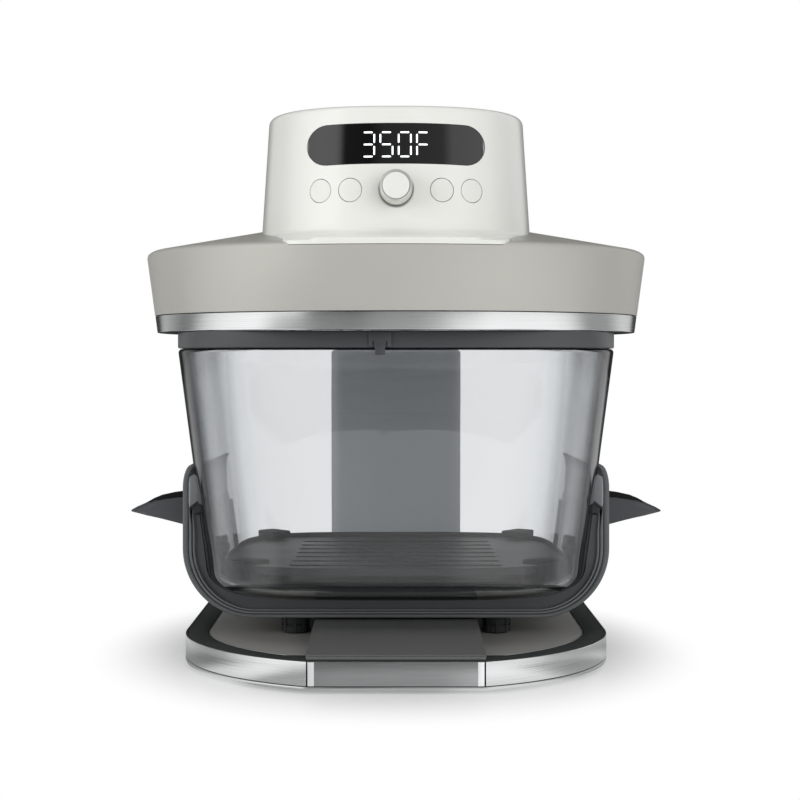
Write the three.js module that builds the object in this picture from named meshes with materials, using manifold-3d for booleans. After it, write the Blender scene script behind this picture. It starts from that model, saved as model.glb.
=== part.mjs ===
// Glass air fryer: a hinged head on a rear column, over a glass bowl that rides in a pull-out cradle.
// Millimetres, +Z up, front towards -Y. While it is built the bowl's axis is at X = 0, Y = 0.
import * as THREE from 'three';
import { mergeVertices } from 'three/addons/utils/BufferGeometryUtils.js';
import Module from 'manifold-3d';

const wasm = await Module();
wasm.setup();

// Fits shared by all pieces
const GAP = 0.3;            // clearance between two neighbours that seat on each other
const SEAM = 0.6;           // visible seam between two covers
const OVERRUN = 4;          // how far a cutting tool runs past what it cuts
const DEEP_OVERRUN = 8;     // the same, through a slanted wall
const MERGE = 1e-4;         // vertices nearer than this are one vertex

// Counts of facets
const LARGE = 36;
const MEDIUM = 20;
const SMALL = 12;
const TINY = 6;
const ARC = 3;
const BASE_STEPS = 5;

// Heights from the table up to the bowl
const FOOT_STAND = 2;            // what the rubber feet lift the pan by
const LIP_HEIGHT = 2;
const BAND_TOP = 17.5;
const CRADLE_FOOT_HEIGHT = 10.2;
const CRADLE_BOTTOM = BAND_TOP + CRADLE_FOOT_HEIGHT + 2 * GAP;
const BOWL_LIFT = 15.7;          // from the cradle's underside to the bowl's floor

// Glass bowl: a rounded square in plan that tapers downwards
const BOWL_SQUARE = 3.6;         // exponent of the plan's superellipse
const BOWL_RIM = 129.5;
const BOWL_HEIGHT = 141.5;
const BOWL_BOTTOM = CRADLE_BOTTOM + BOWL_LIFT;
const BOWL_TOP = BOWL_BOTTOM + BOWL_HEIGHT;
const BOWL_SLOPE = 0.128;        // how much the wall leans out for each unit of height
const BOWL_CORNER = 15;
const GLASS = 4.5;
const bowlLean = Math.atan(BOWL_SLOPE);
const bowlWall = (z) => BOWL_RIM - (BOWL_TOP - z) * BOWL_SLOPE;

// Rim seal with its pull tab
const SEAL_HEIGHT = 9.2;
const SEAL_WIDTH = 8;
const SEAL_INNER = BOWL_RIM - SEAL_WIDTH;
const SEAL_LIP = 6.2;
const TAB_X = -8.7;
const TAB_HALF = 5.5;
const TAB_OUT = 2;
const TAB_STEM_HALF = 2.7;
const TAB_STEM_DROP = 4.1;
const TAB_SINK = 1.5;

// Cradle: a U frame under and beside the bowl
const CRADLE_HEIGHT = 89.4;
const CRADLE_TOP = CRADLE_BOTTOM + CRADLE_HEIGHT;
const CRADLE_CLEARANCE = 0.578;  // between the arms' tips and the bowl
const CRADLE_BAND = 3.3;
const CRADLE_HALF = bowlWall(CRADLE_TOP) + CRADLE_CLEARANCE + CRADLE_BAND;
const CRADLE_ROUND = 40.7;
const CRADLE_DEEP = 59;          // half the frame's depth along Y
const CRADLE_TIP_DROP = 6;
const CRADLE_TIP_IN = 5;
const CRADLE_EDGE_IN = 1;
const RIB_DEEP = 53;
const RIB_WIDE = 14;
const RIB_REACH = 17;
const RIB_HEIGHT = 59.7;
const RIB_TOP = CRADLE_BOTTOM + RIB_HEIGHT;

// Side handle grips, placed from the cradle's arms
const GRIP_DROP = 30.2;          // from the arms' tips down to the grip's tip
const GRIP_REACH = 36.8;
const GRIP_TIP_X = CRADLE_HALF + GRIP_REACH;
const GRIP_TIP_Z = CRADLE_TOP - GRIP_DROP;
const GRIP_ROOT_RISE = 9.2;
const GRIP_ROOT_FALL = 7.5;
const GRIP_ROOT_TOP = GRIP_TIP_Z + GRIP_ROOT_RISE;
const GRIP_ROOT_BOTTOM = GRIP_TIP_Z - GRIP_ROOT_FALL;
const GRIP_SHOULDER_REACH = 22.3;
const GRIP_SHOULDER_RISE = 6.1;
const GRIP_SHOULDER_FALL = 3.4;
const GRIP_SHOULDER_X = CRADLE_HALF + GRIP_SHOULDER_REACH;
const GRIP_SHOULDER_TOP = GRIP_TIP_Z + GRIP_SHOULDER_RISE;
const GRIP_SHOULDER_BOTTOM = GRIP_TIP_Z - GRIP_SHOULDER_FALL;
const GRIP_DEEP = 33;
const GRIP_ROUND = 3;            // exponent of the grip's plan

// Crisper plate and its bumpers, placed from the bowl's inner wall and floor
const CRISPER_LIFT = 14.5;
const CRISPER_Z = BOWL_BOTTOM + CRISPER_LIFT;
const CRISPER_CLEARANCE = 4.7;
const CRISPER_HALF = bowlWall(CRISPER_Z) - GLASS / Math.cos(bowlLean) - CRISPER_CLEARANCE;
const CRISPER_THICK = 1.8;
const CRISPER_RIM = 4.5;
const CRISPER_RIM_THICK = 1.6;
const SLOT_COUNT = 7;
const SLOT_SIDE_MARGIN = 38;     // from the outermost slot's middle to the plate's edge
const SLOT_END_MARGIN = 42;
const SLOT_PITCH = (2 * (CRISPER_HALF - SLOT_SIDE_MARGIN)) / (SLOT_COUNT - 1);
const SLOT_HALF_WIDTH = 3.5;
const SLOT_HALF_LENGTH = CRISPER_HALF - SLOT_END_MARGIN;
const BUMPER_HALF = 9;
const BUMPER_START = 5;          // along the diagonal, past the plate's half width
const BUMPER_IN = CRISPER_HALF + BUMPER_START;
const BUMPER_LENGTH = 91;        // before the bowl's inner wall cuts it off
const BUMPER_OUT = BUMPER_IN + BUMPER_LENGTH;
const BUMPER_RISE = 7.5;
const BUMPER_TOP = CRISPER_Z + BUMPER_RISE;

// Head: shroud, trim ring and lower housing, over the seal
const HEAD_SQUARE = 2.2;
const HEAD_OVERHANG = 15.8;      // the ring's lower edge past the bowl's rim
const RING_BOTTOM = BOWL_TOP + SEAL_HEIGHT + 2 * GAP;
const RING_HEIGHT = 9.8;
const RING_TOP = RING_BOTTOM + RING_HEIGHT;
const RING_FLARE = 1.2;
const RING_LOW = BOWL_RIM + HEAD_OVERHANG;
const RING_HIGH = RING_LOW + RING_FLARE;
const RING_THICK = 1.5;
const SHROUD_SEAM = 0.4;
const SHROUD_STEP = 0.2;
const SHROUD_FLARE = 4.6;
const SHROUD_HEIGHT = 34.3;
const SHROUD_BOTTOM = RING_TOP + SHROUD_SEAM;
const SHROUD_LOW = RING_HIGH + SHROUD_STEP;
const SHROUD_HIGH = SHROUD_LOW + SHROUD_FLARE;
const SHROUD_EDGE = SHROUD_BOTTOM + SHROUD_HEIGHT;
const SHOULDER_RISE = 3.6;
const SHOULDER_IN = 3.4;
const SHOULDER_MID_RISE = 2.2;
const SHOULDER_MID_IN = 0.7;
const DOME_SLOPE = 0.191;
const DOME_INNER = 40;
const SHELL = 2.4;
const HOUSING_WIDTH = 32.3;
const HOUSING_RISE = 0.9;
const HOUSING_INNER = RING_LOW - HOUSING_WIDTH;
const HOUSING_TOP = RING_TOP + HOUSING_RISE;
const CHASSIS_RISE = 0.9;
const CHASSIS_TOP = SHROUD_EDGE + CHASSIS_RISE;
const CHASSIS_THICK = 2.4;
const CHASSIS_MARGIN = 4.4;
const CHASSIS_RADIUS = SHROUD_HIGH - CHASSIS_MARGIN;

// Control housing: a tapered cap, long from front to back, with a flare to the rim in front
const CAP_SQUARE = 2.4;
const CAP_LOW = 77.4;
const CAP_TAPER = 4;
const CAP_HIGH = CAP_LOW - CAP_TAPER;
const CAP_FRONT_MARGIN = 12.6;   // from the cap's foot to the shroud's rim, without the flare
const CAP_BACK_MARGIN = 25.2;
const CAP_CENTRE = CAP_LOW + CAP_FRONT_MARGIN - SHROUD_HIGH;   // Y of the cap's front round
const CAP_BACK = SHROUD_HIGH - CAP_BACK_MARGIN;
const CAP_STRETCH = CAP_BACK - CAP_LOW - CAP_CENTRE;           // between its front and back rounds
const CAP_LIFT = 10.5;
const CAP_CREASE = SHROUD_EDGE + CAP_LIFT;
const CAP_HEIGHT = 66.7;
const CAP_TOP = CAP_CREASE + CAP_HEIGHT;
const CAP_EDGE = 3.6;
const CAP_BOTTOM = CHASSIS_TOP + GAP;
const CAP_FLARE_HEIGHT = 7.1;
const CAP_LIP = CAP_CREASE - CAP_FLARE_HEIGHT;
const CAP_FLARE = 22;
const CAP_FLARE_SIDE = 1;
const FLARE_STEPS = 3;
const CAP_WALL = 2.4;

// Controls on the panel, placed from the cap's top
const DISPLAY_DROP = 20.9;
const DISPLAY_Z = CAP_TOP - DISPLAY_DROP;
const DISPLAY_HALF = 48.6;
const DISPLAY_HEIGHT = 22;
const LENS_THICK = 2;
const BUTTON_DROP = 46.1;
const BUTTON_Z = CAP_TOP - BUTTON_DROP;
const BUTTON_RADIUS = 6.3;
const BUTTON_XS = [-41.3, -24.9, 24.9, 41.3];
const BUTTON_STEM = 5.5;
const BUTTON_FLANGE = 1.3;
const BUTTON_FLANGE_THICK = 1.2;
const BUTTON_FLANGE_DEPTH = 3.9;
const BUTTON_HOLE = 0.35;
const BUTTON_TRAVEL = 1;
const KNOB_RADIUS = 8.8;
const KNOB_FACE = 7.6;
const KNOB_BACK = 2.6;           // height of the knob's back over the panel
const KNOB_FRONT = 15.6;
const KNOB_EDGE = 1;
const KNOB_BORE_END = 9.6;
const KNOB_RING_RADIUS = 9.7;
const KNOB_RING_TOP = 1.4;
const KNOB_RING_BORE = 4.6;
const KNOB_RING_SINK = 1;
const SHAFT_RADIUS = 3;
const SHAFT_HOLE = 4.3;
const ENCODER_HALF = 6.5;
const ENCODER_FRONT = 8;
const BOARD_THICK = 1.6;
const CONTROL_BOARD_DEPTH = 15;
const CONTROL_BOARD_HALF = 39.5; // its ends stay clear of the outer buttons when they are pressed
const CONTROL_BOARD_HIGH = 16;
const DISPLAY_BOARD_DEPTH = 13;
const DISPLAY_BOARD_HALF = 41;
const DISPLAY_BOARD_HIGH = 16;
const BOSS_RADIUS = 2.2;
const BOSS_X = 31;
const CONTROL_BOSS_Y = -13;
const DISPLAY_BOSS_Y = 13.8;
const SWITCH_RADIUS = 2.4;
const VENT_HALF = 34;
const VENT_DROP = 17;
const VENT_HEIGHT = 38;
const VENT_Z = [CAP_TOP - VENT_DROP - VENT_HEIGHT, CAP_TOP - VENT_DROP];
const VENT_SLOTS = 5;
const VENT_SLOT_HEIGHT = 3;

// Hinge behind the shroud, and the column under it
const CHEEK_RADIUS = 13;
const CHEEK_THICK = 11;
const HINGE_CLEARANCE = 2.7;     // between the shroud's rim and the cheeks
const HINGE_LIFT = 16.7;
const HINGE_Y = SHROUD_HIGH + HINGE_CLEARANCE + CHEEK_RADIUS;
const HINGE_Z = RING_BOTTOM + HINGE_LIFT;
const COLUMN_HALF = 46;
const COLUMN_AHEAD = 24;         // depth of the column before the hinge's axis
const COLUMN_BEHIND = 22;
const COLUMN_FRONT = HINGE_Y - COLUMN_AHEAD;
const COLUMN_BACK = HINGE_Y + COLUMN_BEHIND;
const COLUMN_CORNER = 9;
const COLUMN_WALL = 2.2;
const COLUMN_DROP = 2.3;         // from the head's underside to the column's top
const COLUMN_TOP = RING_BOTTOM - COLUMN_DROP;
const POST_SIDE_IN = 16;         // of the post's side from the column's side
const POST_HALF = COLUMN_HALF - POST_SIDE_IN;
const POST_DEPTH = 30;
const POST_FRONT = HINGE_Y - POST_DEPTH / 2;
const POST_BACK = HINGE_Y + POST_DEPTH / 2;
const POST_THICK = 3;
const EAR_RADIUS = 12;
const PIN_RADIUS = 4;
const PIN_HEAD_RADIUS = 6;
const PIN_HEAD = 2.4;
const BARREL_RADIUS = 11.5;
const NECK_SIDE_IN = 8;          // of the neck's side from the post's side
const NECK_HALF = POST_HALF - NECK_SIDE_IN;
const NECK_SETBACK = 3.6;        // of the neck's front end from the hot space's wall
const NECK_FRONT = HOUSING_INNER + SHELL + NECK_SETBACK;
const NECK_RISE = 11.2;
const NECK_TOP = HINGE_Z + NECK_RISE;
const GLAND_Z = 34;
const GLAND_FLANGE = 8.5;
const GLAND_BODY = 6;
const GLAND_BORE = 3.6;
const GLAND_LENGTH = 7;
const GLAND_FLANGE_THICK = 2;
const SCREW_HEAD = 4;
const SCREW_SHANK = 1.8;
const SCREW_HEAD_HEIGHT = 1.4;
const SCREW_LENGTH = 7;
const SCREW_X = 24;

// Base: a round front with a flat, and straight sides to the back
const FRONT_PLATE_HALF = 47.6;
const FRONT_PLATE_THICK = 2.4;
const FRONT_PLATE_MARGIN = 0.4;  // between the plate's ends and the flat's ends
const PLATE_ROLL = 1.1;          // radius of the plate's rolled upright edges
const BASE_SIDE_IN = 4;          // of the base's side from the bowl's rim
const BASE_RADIUS = BOWL_RIM - BASE_SIDE_IN;
const BASE_FLAT_HALF = FRONT_PLATE_HALF + FRONT_PLATE_MARGIN;
const BASE_FLAT = Math.sqrt(BASE_RADIUS ** 2 - BASE_FLAT_HALF ** 2);   // from the round's centre to the flat
const BASE_REACH = 15.5;
const BASE_FRONT = BOWL_RIM + BASE_REACH;                      // from the bowl's axis to the flat
const BASE_TAIL = 8;
const BASE_BACK = COLUMN_BACK + BASE_TAIL;
const BASE_CORNER = 40;
const BAND_THICK = 1.2;
const COVER_TOP_THICK = 2;
const COVER_WALL = 2;
const LEDGE_DEPTH = 2.2;
const LEDGE_WIDTH = 6;
const DECK_INSET = 14;
const DECK_FRONT_INSET = 22;
const DECK_SHORT = 3;            // of the column's front
const DECK_BACK = COLUMN_FRONT - DECK_SHORT;
const DECK_CORNER = 8;
const RUBBER_FOOT_RADIUS = 9;
const RUBBER_FOOT_SIDE_IN = 40.5;
const RUBBER_FOOT_FRONT_IN = 67;
const RUBBER_FOOT_BACK_IN = 32;
const RUBBER_FOOT_X = BASE_RADIUS - RUBBER_FOOT_SIDE_IN;
const RUBBER_FOOT_FRONT = BASE_FRONT - RUBBER_FOOT_FRONT_IN;
const RUBBER_FOOT_BACK = BASE_BACK - RUBBER_FOOT_BACK_IN;

// Centre slab with its front ramp
const SLAB_HALF = 49;
const SLAB_DRAFT = 1.5;
const SLAB_HEIGHT = 9.5;
const SLAB_TOP = BAND_TOP + SLAB_HEIGHT;
const SLAB_SETBACK = 9;
const SLAB_FRONT = BASE_FRONT - SLAB_SETBACK;
const SLAB_NOSE = 1.6;           // height of the ramp's front edge
const SLAB_RAMP = 41;
const SLAB_SHORT = 5;            // of the column's front
const SLAB_BACK = COLUMN_FRONT - SLAB_SHORT;

// Cradle feet, one at each side of the slab
const CRADLE_FOOT_RADIUS = 7.85;
const CRADLE_FOOT_SIDE_GAP = 2.75;
const CRADLE_FOOT_X = SLAB_HALF + CRADLE_FOOT_SIDE_GAP + CRADLE_FOOT_RADIUS;
const CRADLE_FOOT_Y = 41.5;
const CRADLE_FOOT_WAIST = 6.75;  // radius at the foot's groove
const CRADLE_FOOT_GROOVE = 0.6;  // half the groove's height

// Heat and air
const REFLECTOR_SIDE_GAP = 0.4;
const REFLECTOR_LIFT = 3.7;
const REFLECTOR_RADIUS = HOUSING_INNER - REFLECTOR_SIDE_GAP;
const REFLECTOR_BOTTOM = RING_BOTTOM + REFLECTOR_LIFT;
const INSULATION_THICK = 7.7;
const REFLECTOR_TOP = CHASSIS_TOP - CHASSIS_THICK - INSULATION_THICK - 2 * GAP;
const REFLECTOR_BEND = 8;
const REFLECTOR_FACETS = 24;
const SHEET = 1.2;
const INSULATION_MARGIN = 14.6;
const INSULATION_RADIUS = REFLECTOR_RADIUS - INSULATION_MARGIN;
const COIL_MARGIN = 24.6;
const COIL_LIFT = 11.2;
const COIL_RADIUS = REFLECTOR_RADIUS - COIL_MARGIN;
const COIL_Z = RING_BOTTOM + COIL_LIFT;
const COIL_TUBE = 3.4;
const COIL_SIDES = 5;
const COIL_STEPS = 48;
const COIL_POINTS = 16;
const COIL_BEND = 10.2;          // arc between the ring and an end that turns up
const COIL_OPENING = 0.5;        // angle left open between the coil's two ends
const GUARD_LIFT = 1.7;
const GUARD_BOTTOM = RING_BOTTOM + GUARD_LIFT;
const GUARD_THICK = 1.6;
const GUARD_SPOKES = 5;
const GUARD_RIM = 5;
const GUARD_RINGS = [18, 62, HOUSING_INNER - GUARD_RIM];
const GUARD_BAR = 3;
const ROTOR_HOLE = 8;
const ROTOR_SHAFT = 4;
const ROTOR_SHAFT_END = 3;       // past the wheel at each end
const FAN_LIFT = 16.7;
const FAN_RADIUS = 62;
const FAN_PLATE = 1.5;
const FAN_Z = RING_BOTTOM + FAN_LIFT;
const FAN_BLADE = 9;
const FAN_BLADES = 6;
const FAN_HUB = 10;
const BLADE_THICK = 1.6;
const MOTOR_RADIUS = 34;
const MOTOR_HEIGHT = 38;
const COOLING_LIFT = 4;
const COOLING_RADIUS = 32;
const COOLING_Z = CAP_BOTTOM + MOTOR_HEIGHT + COOLING_LIFT;
const COOLING_BLADE = 8;
const ROTOR_SHAFT_BOTTOM = FAN_Z - ROTOR_SHAFT_END;
const ROTOR_SHAFT_TOP = COOLING_Z + COOLING_BLADE + ROTOR_SHAFT_END;
const POWER_BOARD_GAP = 8;       // between the motor and the board
const POWER_BOARD_BACK = 26.1;   // between the board and the cap's back
const POWER_BOARD_Y = [MOTOR_RADIUS + POWER_BOARD_GAP, CAP_BACK - POWER_BOARD_BACK];
const POWER_BOARD_HALF = 36;
const POWER_BOARD_LIFT = 6;
const POWER_LEG_IN = 4;
const TRANSFORMER = [24, 20, 18];
const CUTOUT_X = 54;
const CUTOUT_RADIUS = 7;
const CUTOUT_HEIGHT = 6;

const QUARTER = Math.PI / 2;

const whitePlastic = () => new THREE.MeshStandardMaterial({ color: 0xe6e6e0, roughness: 0.3, metalness: 0 });
const warmGrey = () => new THREE.MeshStandardMaterial({ color: 0xb5b4ae, roughness: 0.45, metalness: 0.1 });
const brushedSteel = () => new THREE.MeshStandardMaterial({ color: 0xb8babb, roughness: 0.35, metalness: 0.9 });
const darkPlastic = () => new THREE.MeshStandardMaterial({ color: 0x3d3f3f, roughness: 0.55, metalness: 0 });
const satinPlate = () => new THREE.MeshStandardMaterial({ color: 0x6f6e6b, roughness: 0.4, metalness: 0.6 });
const clearGlass = () => new THREE.MeshStandardMaterial({ color: 0xe8f0f0, roughness: 0.05, metalness: 0,
  transparent: true, opacity: 0.35 });
const blackGloss = () => new THREE.MeshStandardMaterial({ color: 0x0c0d0e, roughness: 0.08, metalness: 0 });
const rubber = () => new THREE.MeshStandardMaterial({ color: 0x26282a, roughness: 0.85, metalness: 0 });
const boardGreen = () => new THREE.MeshStandardMaterial({ color: 0x2c5a3c, roughness: 0.6, metalness: 0 });
const castMetal = () => new THREE.MeshStandardMaterial({ color: 0x8a8c8e, roughness: 0.5, metalness: 0.8 });
const ceramicWool = () => new THREE.MeshStandardMaterial({ color: 0xd8d4c8, roughness: 0.95, metalness: 0 });
const coilMetal = () => new THREE.MeshStandardMaterial({ color: 0x5a5552, roughness: 0.6, metalness: 0.7 });

// Solids: closed geometry in, closed geometry out

function closedTriangles(merged) {
  const at = merged.attributes.position;
  const corner = [new THREE.Vector3(), new THREE.Vector3(), new THREE.Vector3()];
  const triangles = [];
  let volume = 0;
  for (let i = 0; i < merged.index.count; i += 3) {
    const ids = [0, 1, 2].map((k) => merged.index.getX(i + k));
    if (new Set(ids).size < ids.length) continue;
    ids.forEach((id, k) => corner[k].fromBufferAttribute(at, id));
    volume += corner[0].dot(corner[1].cross(corner[2]));
    triangles.push(ids);
  }
  return (volume < 0 ? triangles.map(([a, b, c]) => [a, c, b]) : triangles).flat();
}

function toSolid(geometry) {
  const plain = geometry.clone();
  Object.keys(plain.attributes).filter((name) => name !== 'position')
    .forEach((name) => plain.deleteAttribute(name));
  const merged = mergeVertices(plain, MERGE);
  return new wasm.Manifold(new wasm.Mesh({
    numProp: 3,
    vertProperties: new Float32Array(merged.attributes.position.array),
    triVerts: new Uint32Array(closedTriangles(merged)),
  }));
}

function toGeometry(solid) {
  const { vertProperties, triVerts } = solid.getMesh();
  const geometry = new THREE.BufferGeometry();
  geometry.setAttribute('position', new THREE.BufferAttribute(vertProperties, 3));
  geometry.setIndex(new THREE.BufferAttribute(triVerts, 1));
  return geometry;
}

const combine = (method) => (first, ...others) =>
  toGeometry(others.reduce((sum, other) => sum[method](toSolid(other)), toSolid(first)));
const join = combine('add');
const cut = combine('subtract');
const common = combine('intersect');

// Simple shapes

function squared(geometry, squareness) {
  const at = geometry.attributes.position;
  for (let i = 0; i < at.count; i++) {
    const radius = Math.hypot(at.getX(i), at.getY(i));
    if (radius === 0) continue;
    const c = Math.abs(at.getX(i) / radius);
    const s = Math.abs(at.getY(i) / radius);
    const reach = (c ** squareness + s ** squareness) ** (-1 / squareness);
    at.setXY(i, at.getX(i) * reach, at.getY(i) * reach);
  }
  return geometry;
}

function turned(profile, segments, squareness = 2) {
  const points = profile.map(([radius, z]) => new THREE.Vector2(radius, z));
  return squared(new THREE.LatheGeometry(points, segments).rotateX(QUARTER), squareness);
}

const loop = (profile) => [...profile, profile[0]];

function box([x0, x1], [y0, y1], [z0, z1]) {
  const geometry = new THREE.BoxGeometry(x1 - x0, y1 - y0, z1 - z0);
  return geometry.translate((x0 + x1) / 2, (y0 + y1) / 2, (z0 + z1) / 2);
}

function rod(radius, z0, z1, segments = SMALL) {
  return turned([[0, z0], [radius, z0], [radius, z1], [0, z1]], segments);
}

function tube(outer, inner, z0, z1, segments = MEDIUM) {
  return turned(loop([[inner, z0], [outer, z0], [outer, z1], [inner, z1]]), segments);
}

function upright(shape, z0, z1, curveSegments = ARC) {
  return new THREE.ExtrudeGeometry(shape, { depth: z1 - z0, bevelEnabled: false, curveSegments })
    .translate(0, 0, z0);
}

// A shape drawn in X and Z, carried along Y
function alongY(shape, y0, y1, curveSegments = ARC) {
  return upright(shape, 0, y1 - y0, curveSegments).rotateX(QUARTER).translate(0, y1, 0);
}

// A shape drawn in Y and Z, carried along X
function alongX(shape, x0, x1, curveSegments = ARC) {
  return upright(shape, 0, x1 - x0, curveSegments).rotateX(QUARTER).rotateZ(QUARTER).translate(x0, 0, 0);
}

// A rod along X or along Y through a point
const rodAlongX = (radius, x0, x1, y, z, segments = MEDIUM) =>
  rod(radius, x0, x1, segments).rotateY(QUARTER).translate(0, y, z);
const rodAlongY = (radius, y0, y1, x, z, segments = SMALL) =>
  rod(radius, -y1, -y0, segments).rotateX(QUARTER).translate(x, 0, z);

function roundedRect([x0, x1], [y0, y1], radius) {
  const shape = new THREE.Shape();
  shape.absarc(x1 - radius, y0 + radius, radius, -QUARTER, 0, false);
  shape.absarc(x1 - radius, y1 - radius, radius, 0, QUARTER, false);
  shape.absarc(x0 + radius, y1 - radius, radius, QUARTER, 2 * QUARTER, false);
  shape.absarc(x0 + radius, y0 + radius, radius, 2 * QUARTER, 3 * QUARTER, false);
  return shape;
}

function withHole(shape, hole) {
  shape.holes.push(hole);
  return shape;
}

function arcPoints(x, z, radius, from, to, steps = ARC) {
  return Array.from({ length: steps + 1 }, (_, k) => {
    const angle = from + ((to - from) * k) / steps;
    return [x + radius * Math.cos(angle), z + radius * Math.sin(angle)];
  });
}

const root = new THREE.Group();

function place(name, geometry, material) {
  const mesh = new THREE.Mesh(toGeometry(toSolid(geometry)), material());
  mesh.name = name;
  root.add(mesh);
}

// Base

const PAN_TOP = FOOT_STAND + LIP_HEIGHT;
const BAND_BOTTOM = PAN_TOP + GAP;
const COVER_INSET = BAND_THICK + GAP;
const COVER_UNDER = BAND_TOP - COVER_TOP_THICK;
const DECK_TOP = BAND_TOP;
const baseDepth = [-BASE_FRONT - OVERRUN, BASE_BACK + OVERRUN];

function baseOutline(inset, front = inset, backY = BASE_BACK - inset, corner = BASE_CORNER - inset) {
  const radius = BASE_RADIUS - inset;
  const centre = BASE_FLAT - BASE_FRONT;
  const frontY = front - BASE_FRONT;
  const halfFlat = Math.sqrt(radius ** 2 - (centre - frontY) ** 2);
  const start = Math.atan2(frontY - centre, halfFlat);
  const shape = new THREE.Shape();
  shape.moveTo(-halfFlat, frontY);
  shape.absarc(0, centre, radius, start, 0, false);
  shape.absarc(radius - corner, backY - corner, corner, 0, QUARTER, false);
  shape.absarc(corner - radius, backY - corner, corner, QUARTER, 2 * QUARTER, false);
  shape.absarc(0, centre, radius, 2 * QUARTER, 2 * QUARTER - start, false);
  return shape;
}

const deckOutline = (grow) =>
  baseOutline(DECK_INSET - grow, DECK_FRONT_INSET - grow, DECK_BACK + grow, DECK_CORNER + grow);

function basePan() {
  const plate = upright(baseOutline(0), FOOT_STAND, PAN_TOP, BASE_STEPS);
  const screws = screwPlaces().map(([x, y]) =>
    rod(SCREW_SHANK + GAP, FOOT_STAND - OVERRUN, PAN_TOP + OVERRUN).translate(x, y, 0));
  const sinks = screwPlaces().map(([x, y]) =>
    rod(SCREW_HEAD + GAP, FOOT_STAND - OVERRUN, FOOT_STAND + SCREW_HEAD_HEIGHT + GAP / 2).translate(x, y, 0));
  return cut(plate, ...screws, ...sinks);
}

function baseCover() {
  const top = upright(withHole(baseOutline(COVER_INSET), deckOutline(SEAM)), COVER_UNDER - GAP, BAND_TOP,
    BASE_STEPS);
  const ledge = upright(withHole(baseOutline(COVER_INSET), deckOutline(-LEDGE_WIDTH)),
    COVER_UNDER - GAP - LEDGE_DEPTH, COVER_UNDER - GAP, BASE_STEPS);
  const wall = upright(withHole(baseOutline(COVER_INSET), baseOutline(COVER_INSET + COVER_WALL)),
    BAND_BOTTOM, COVER_UNDER, BASE_STEPS);
  const postHole = box([-POST_HALF - SEAM, POST_HALF + SEAM], [POST_FRONT - SEAM, POST_BACK + SEAM],
    [BAND_BOTTOM, BAND_TOP + OVERRUN]);
  const plateSeat = box([-FRONT_PLATE_HALF - GAP, FRONT_PLATE_HALF + GAP],
    [-BASE_FRONT - OVERRUN, FRONT_PLATE_THICK + GAP - BASE_FRONT], [PAN_TOP, BAND_TOP + OVERRUN]);
  return cut(join(top, ledge, wall), postHole, plateSeat);
}

const baseDeck = () => upright(deckOutline(0), COVER_UNDER, DECK_TOP, BASE_STEPS);

function steelBand(side) {
  const ring = upright(withHole(baseOutline(0), baseOutline(BAND_THICK)), BAND_BOTTOM, BAND_TOP, BASE_STEPS);
  const half = box([GAP, BASE_RADIUS + OVERRUN], baseDepth, [FOOT_STAND, BAND_TOP + OVERRUN]);
  const front = box([0, FRONT_PLATE_HALF + SEAM], [-BASE_FRONT - OVERRUN, -BASE_FRONT / 2],
    [FOOT_STAND, BAND_TOP + OVERRUN]);
  return common(ring, cut(half, front).scale(side, 1, 1));
}

const frontPlate = () => upright(roundedRect([-FRONT_PLATE_HALF, FRONT_PLATE_HALF],
  [-BASE_FRONT, FRONT_PLATE_THICK - BASE_FRONT], PLATE_ROLL), BAND_BOTTOM, BAND_TOP);

function centreSlab() {
  const bottom = DECK_TOP + GAP;
  const side = new THREE.Shape([[-SLAB_FRONT, bottom], [SLAB_BACK, bottom], [SLAB_BACK, SLAB_TOP],
    [SLAB_RAMP - SLAB_FRONT, SLAB_TOP], [-SLAB_FRONT, bottom + SLAB_NOSE]]
    .map(([y, z]) => new THREE.Vector2(y, z)));
  const slab = alongX(side, -SLAB_HALF, SLAB_HALF);
  const at = slab.attributes.position;
  for (let i = 0; i < at.count; i++) {
    const lift = (at.getZ(i) - bottom) / (SLAB_TOP - bottom);
    at.setX(i, at.getX(i) - Math.sign(at.getX(i)) * SLAB_DRAFT * lift);
  }
  return slab;
}

const rubberFoot = () => rod(RUBBER_FOOT_RADIUS, 0, FOOT_STAND - GAP);

// Column and hinge

const columnOutline = (inset) => roundedRect([inset - COLUMN_HALF, COLUMN_HALF - inset],
  [COLUMN_FRONT + inset, COLUMN_BACK - inset], COLUMN_CORNER - inset);
const COLUMN_SPLIT = (COLUMN_FRONT + COLUMN_BACK) / 2;
const COLUMN_FOOT = BAND_TOP + GAP;
const PIN_REACH = POST_HALF + GAP + PIN_HEAD;

function columnShell() {
  const walls = upright(withHole(columnOutline(0), columnOutline(COLUMN_WALL)), COLUMN_FOOT, COLUMN_TOP);
  const roof = upright(columnOutline(0), COLUMN_TOP - COLUMN_WALL, COLUMN_TOP);
  const postSlot = box([-POST_HALF - SEAM, POST_HALF + SEAM], [POST_FRONT - SEAM, POST_BACK + SEAM],
    [COLUMN_TOP - COLUMN_WALL - OVERRUN, COLUMN_TOP + OVERRUN]);
  return cut(join(walls, roof), postSlot);
}

function columnHalf(y0, y1) {
  return common(columnShell(), box([-COLUMN_HALF - OVERRUN, COLUMN_HALF + OVERRUN], [y0, y1],
    [0, COLUMN_TOP + OVERRUN]));
}

const columnFront = () => columnHalf(COLUMN_FRONT - OVERRUN, COLUMN_SPLIT - GAP / 2);

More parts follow.
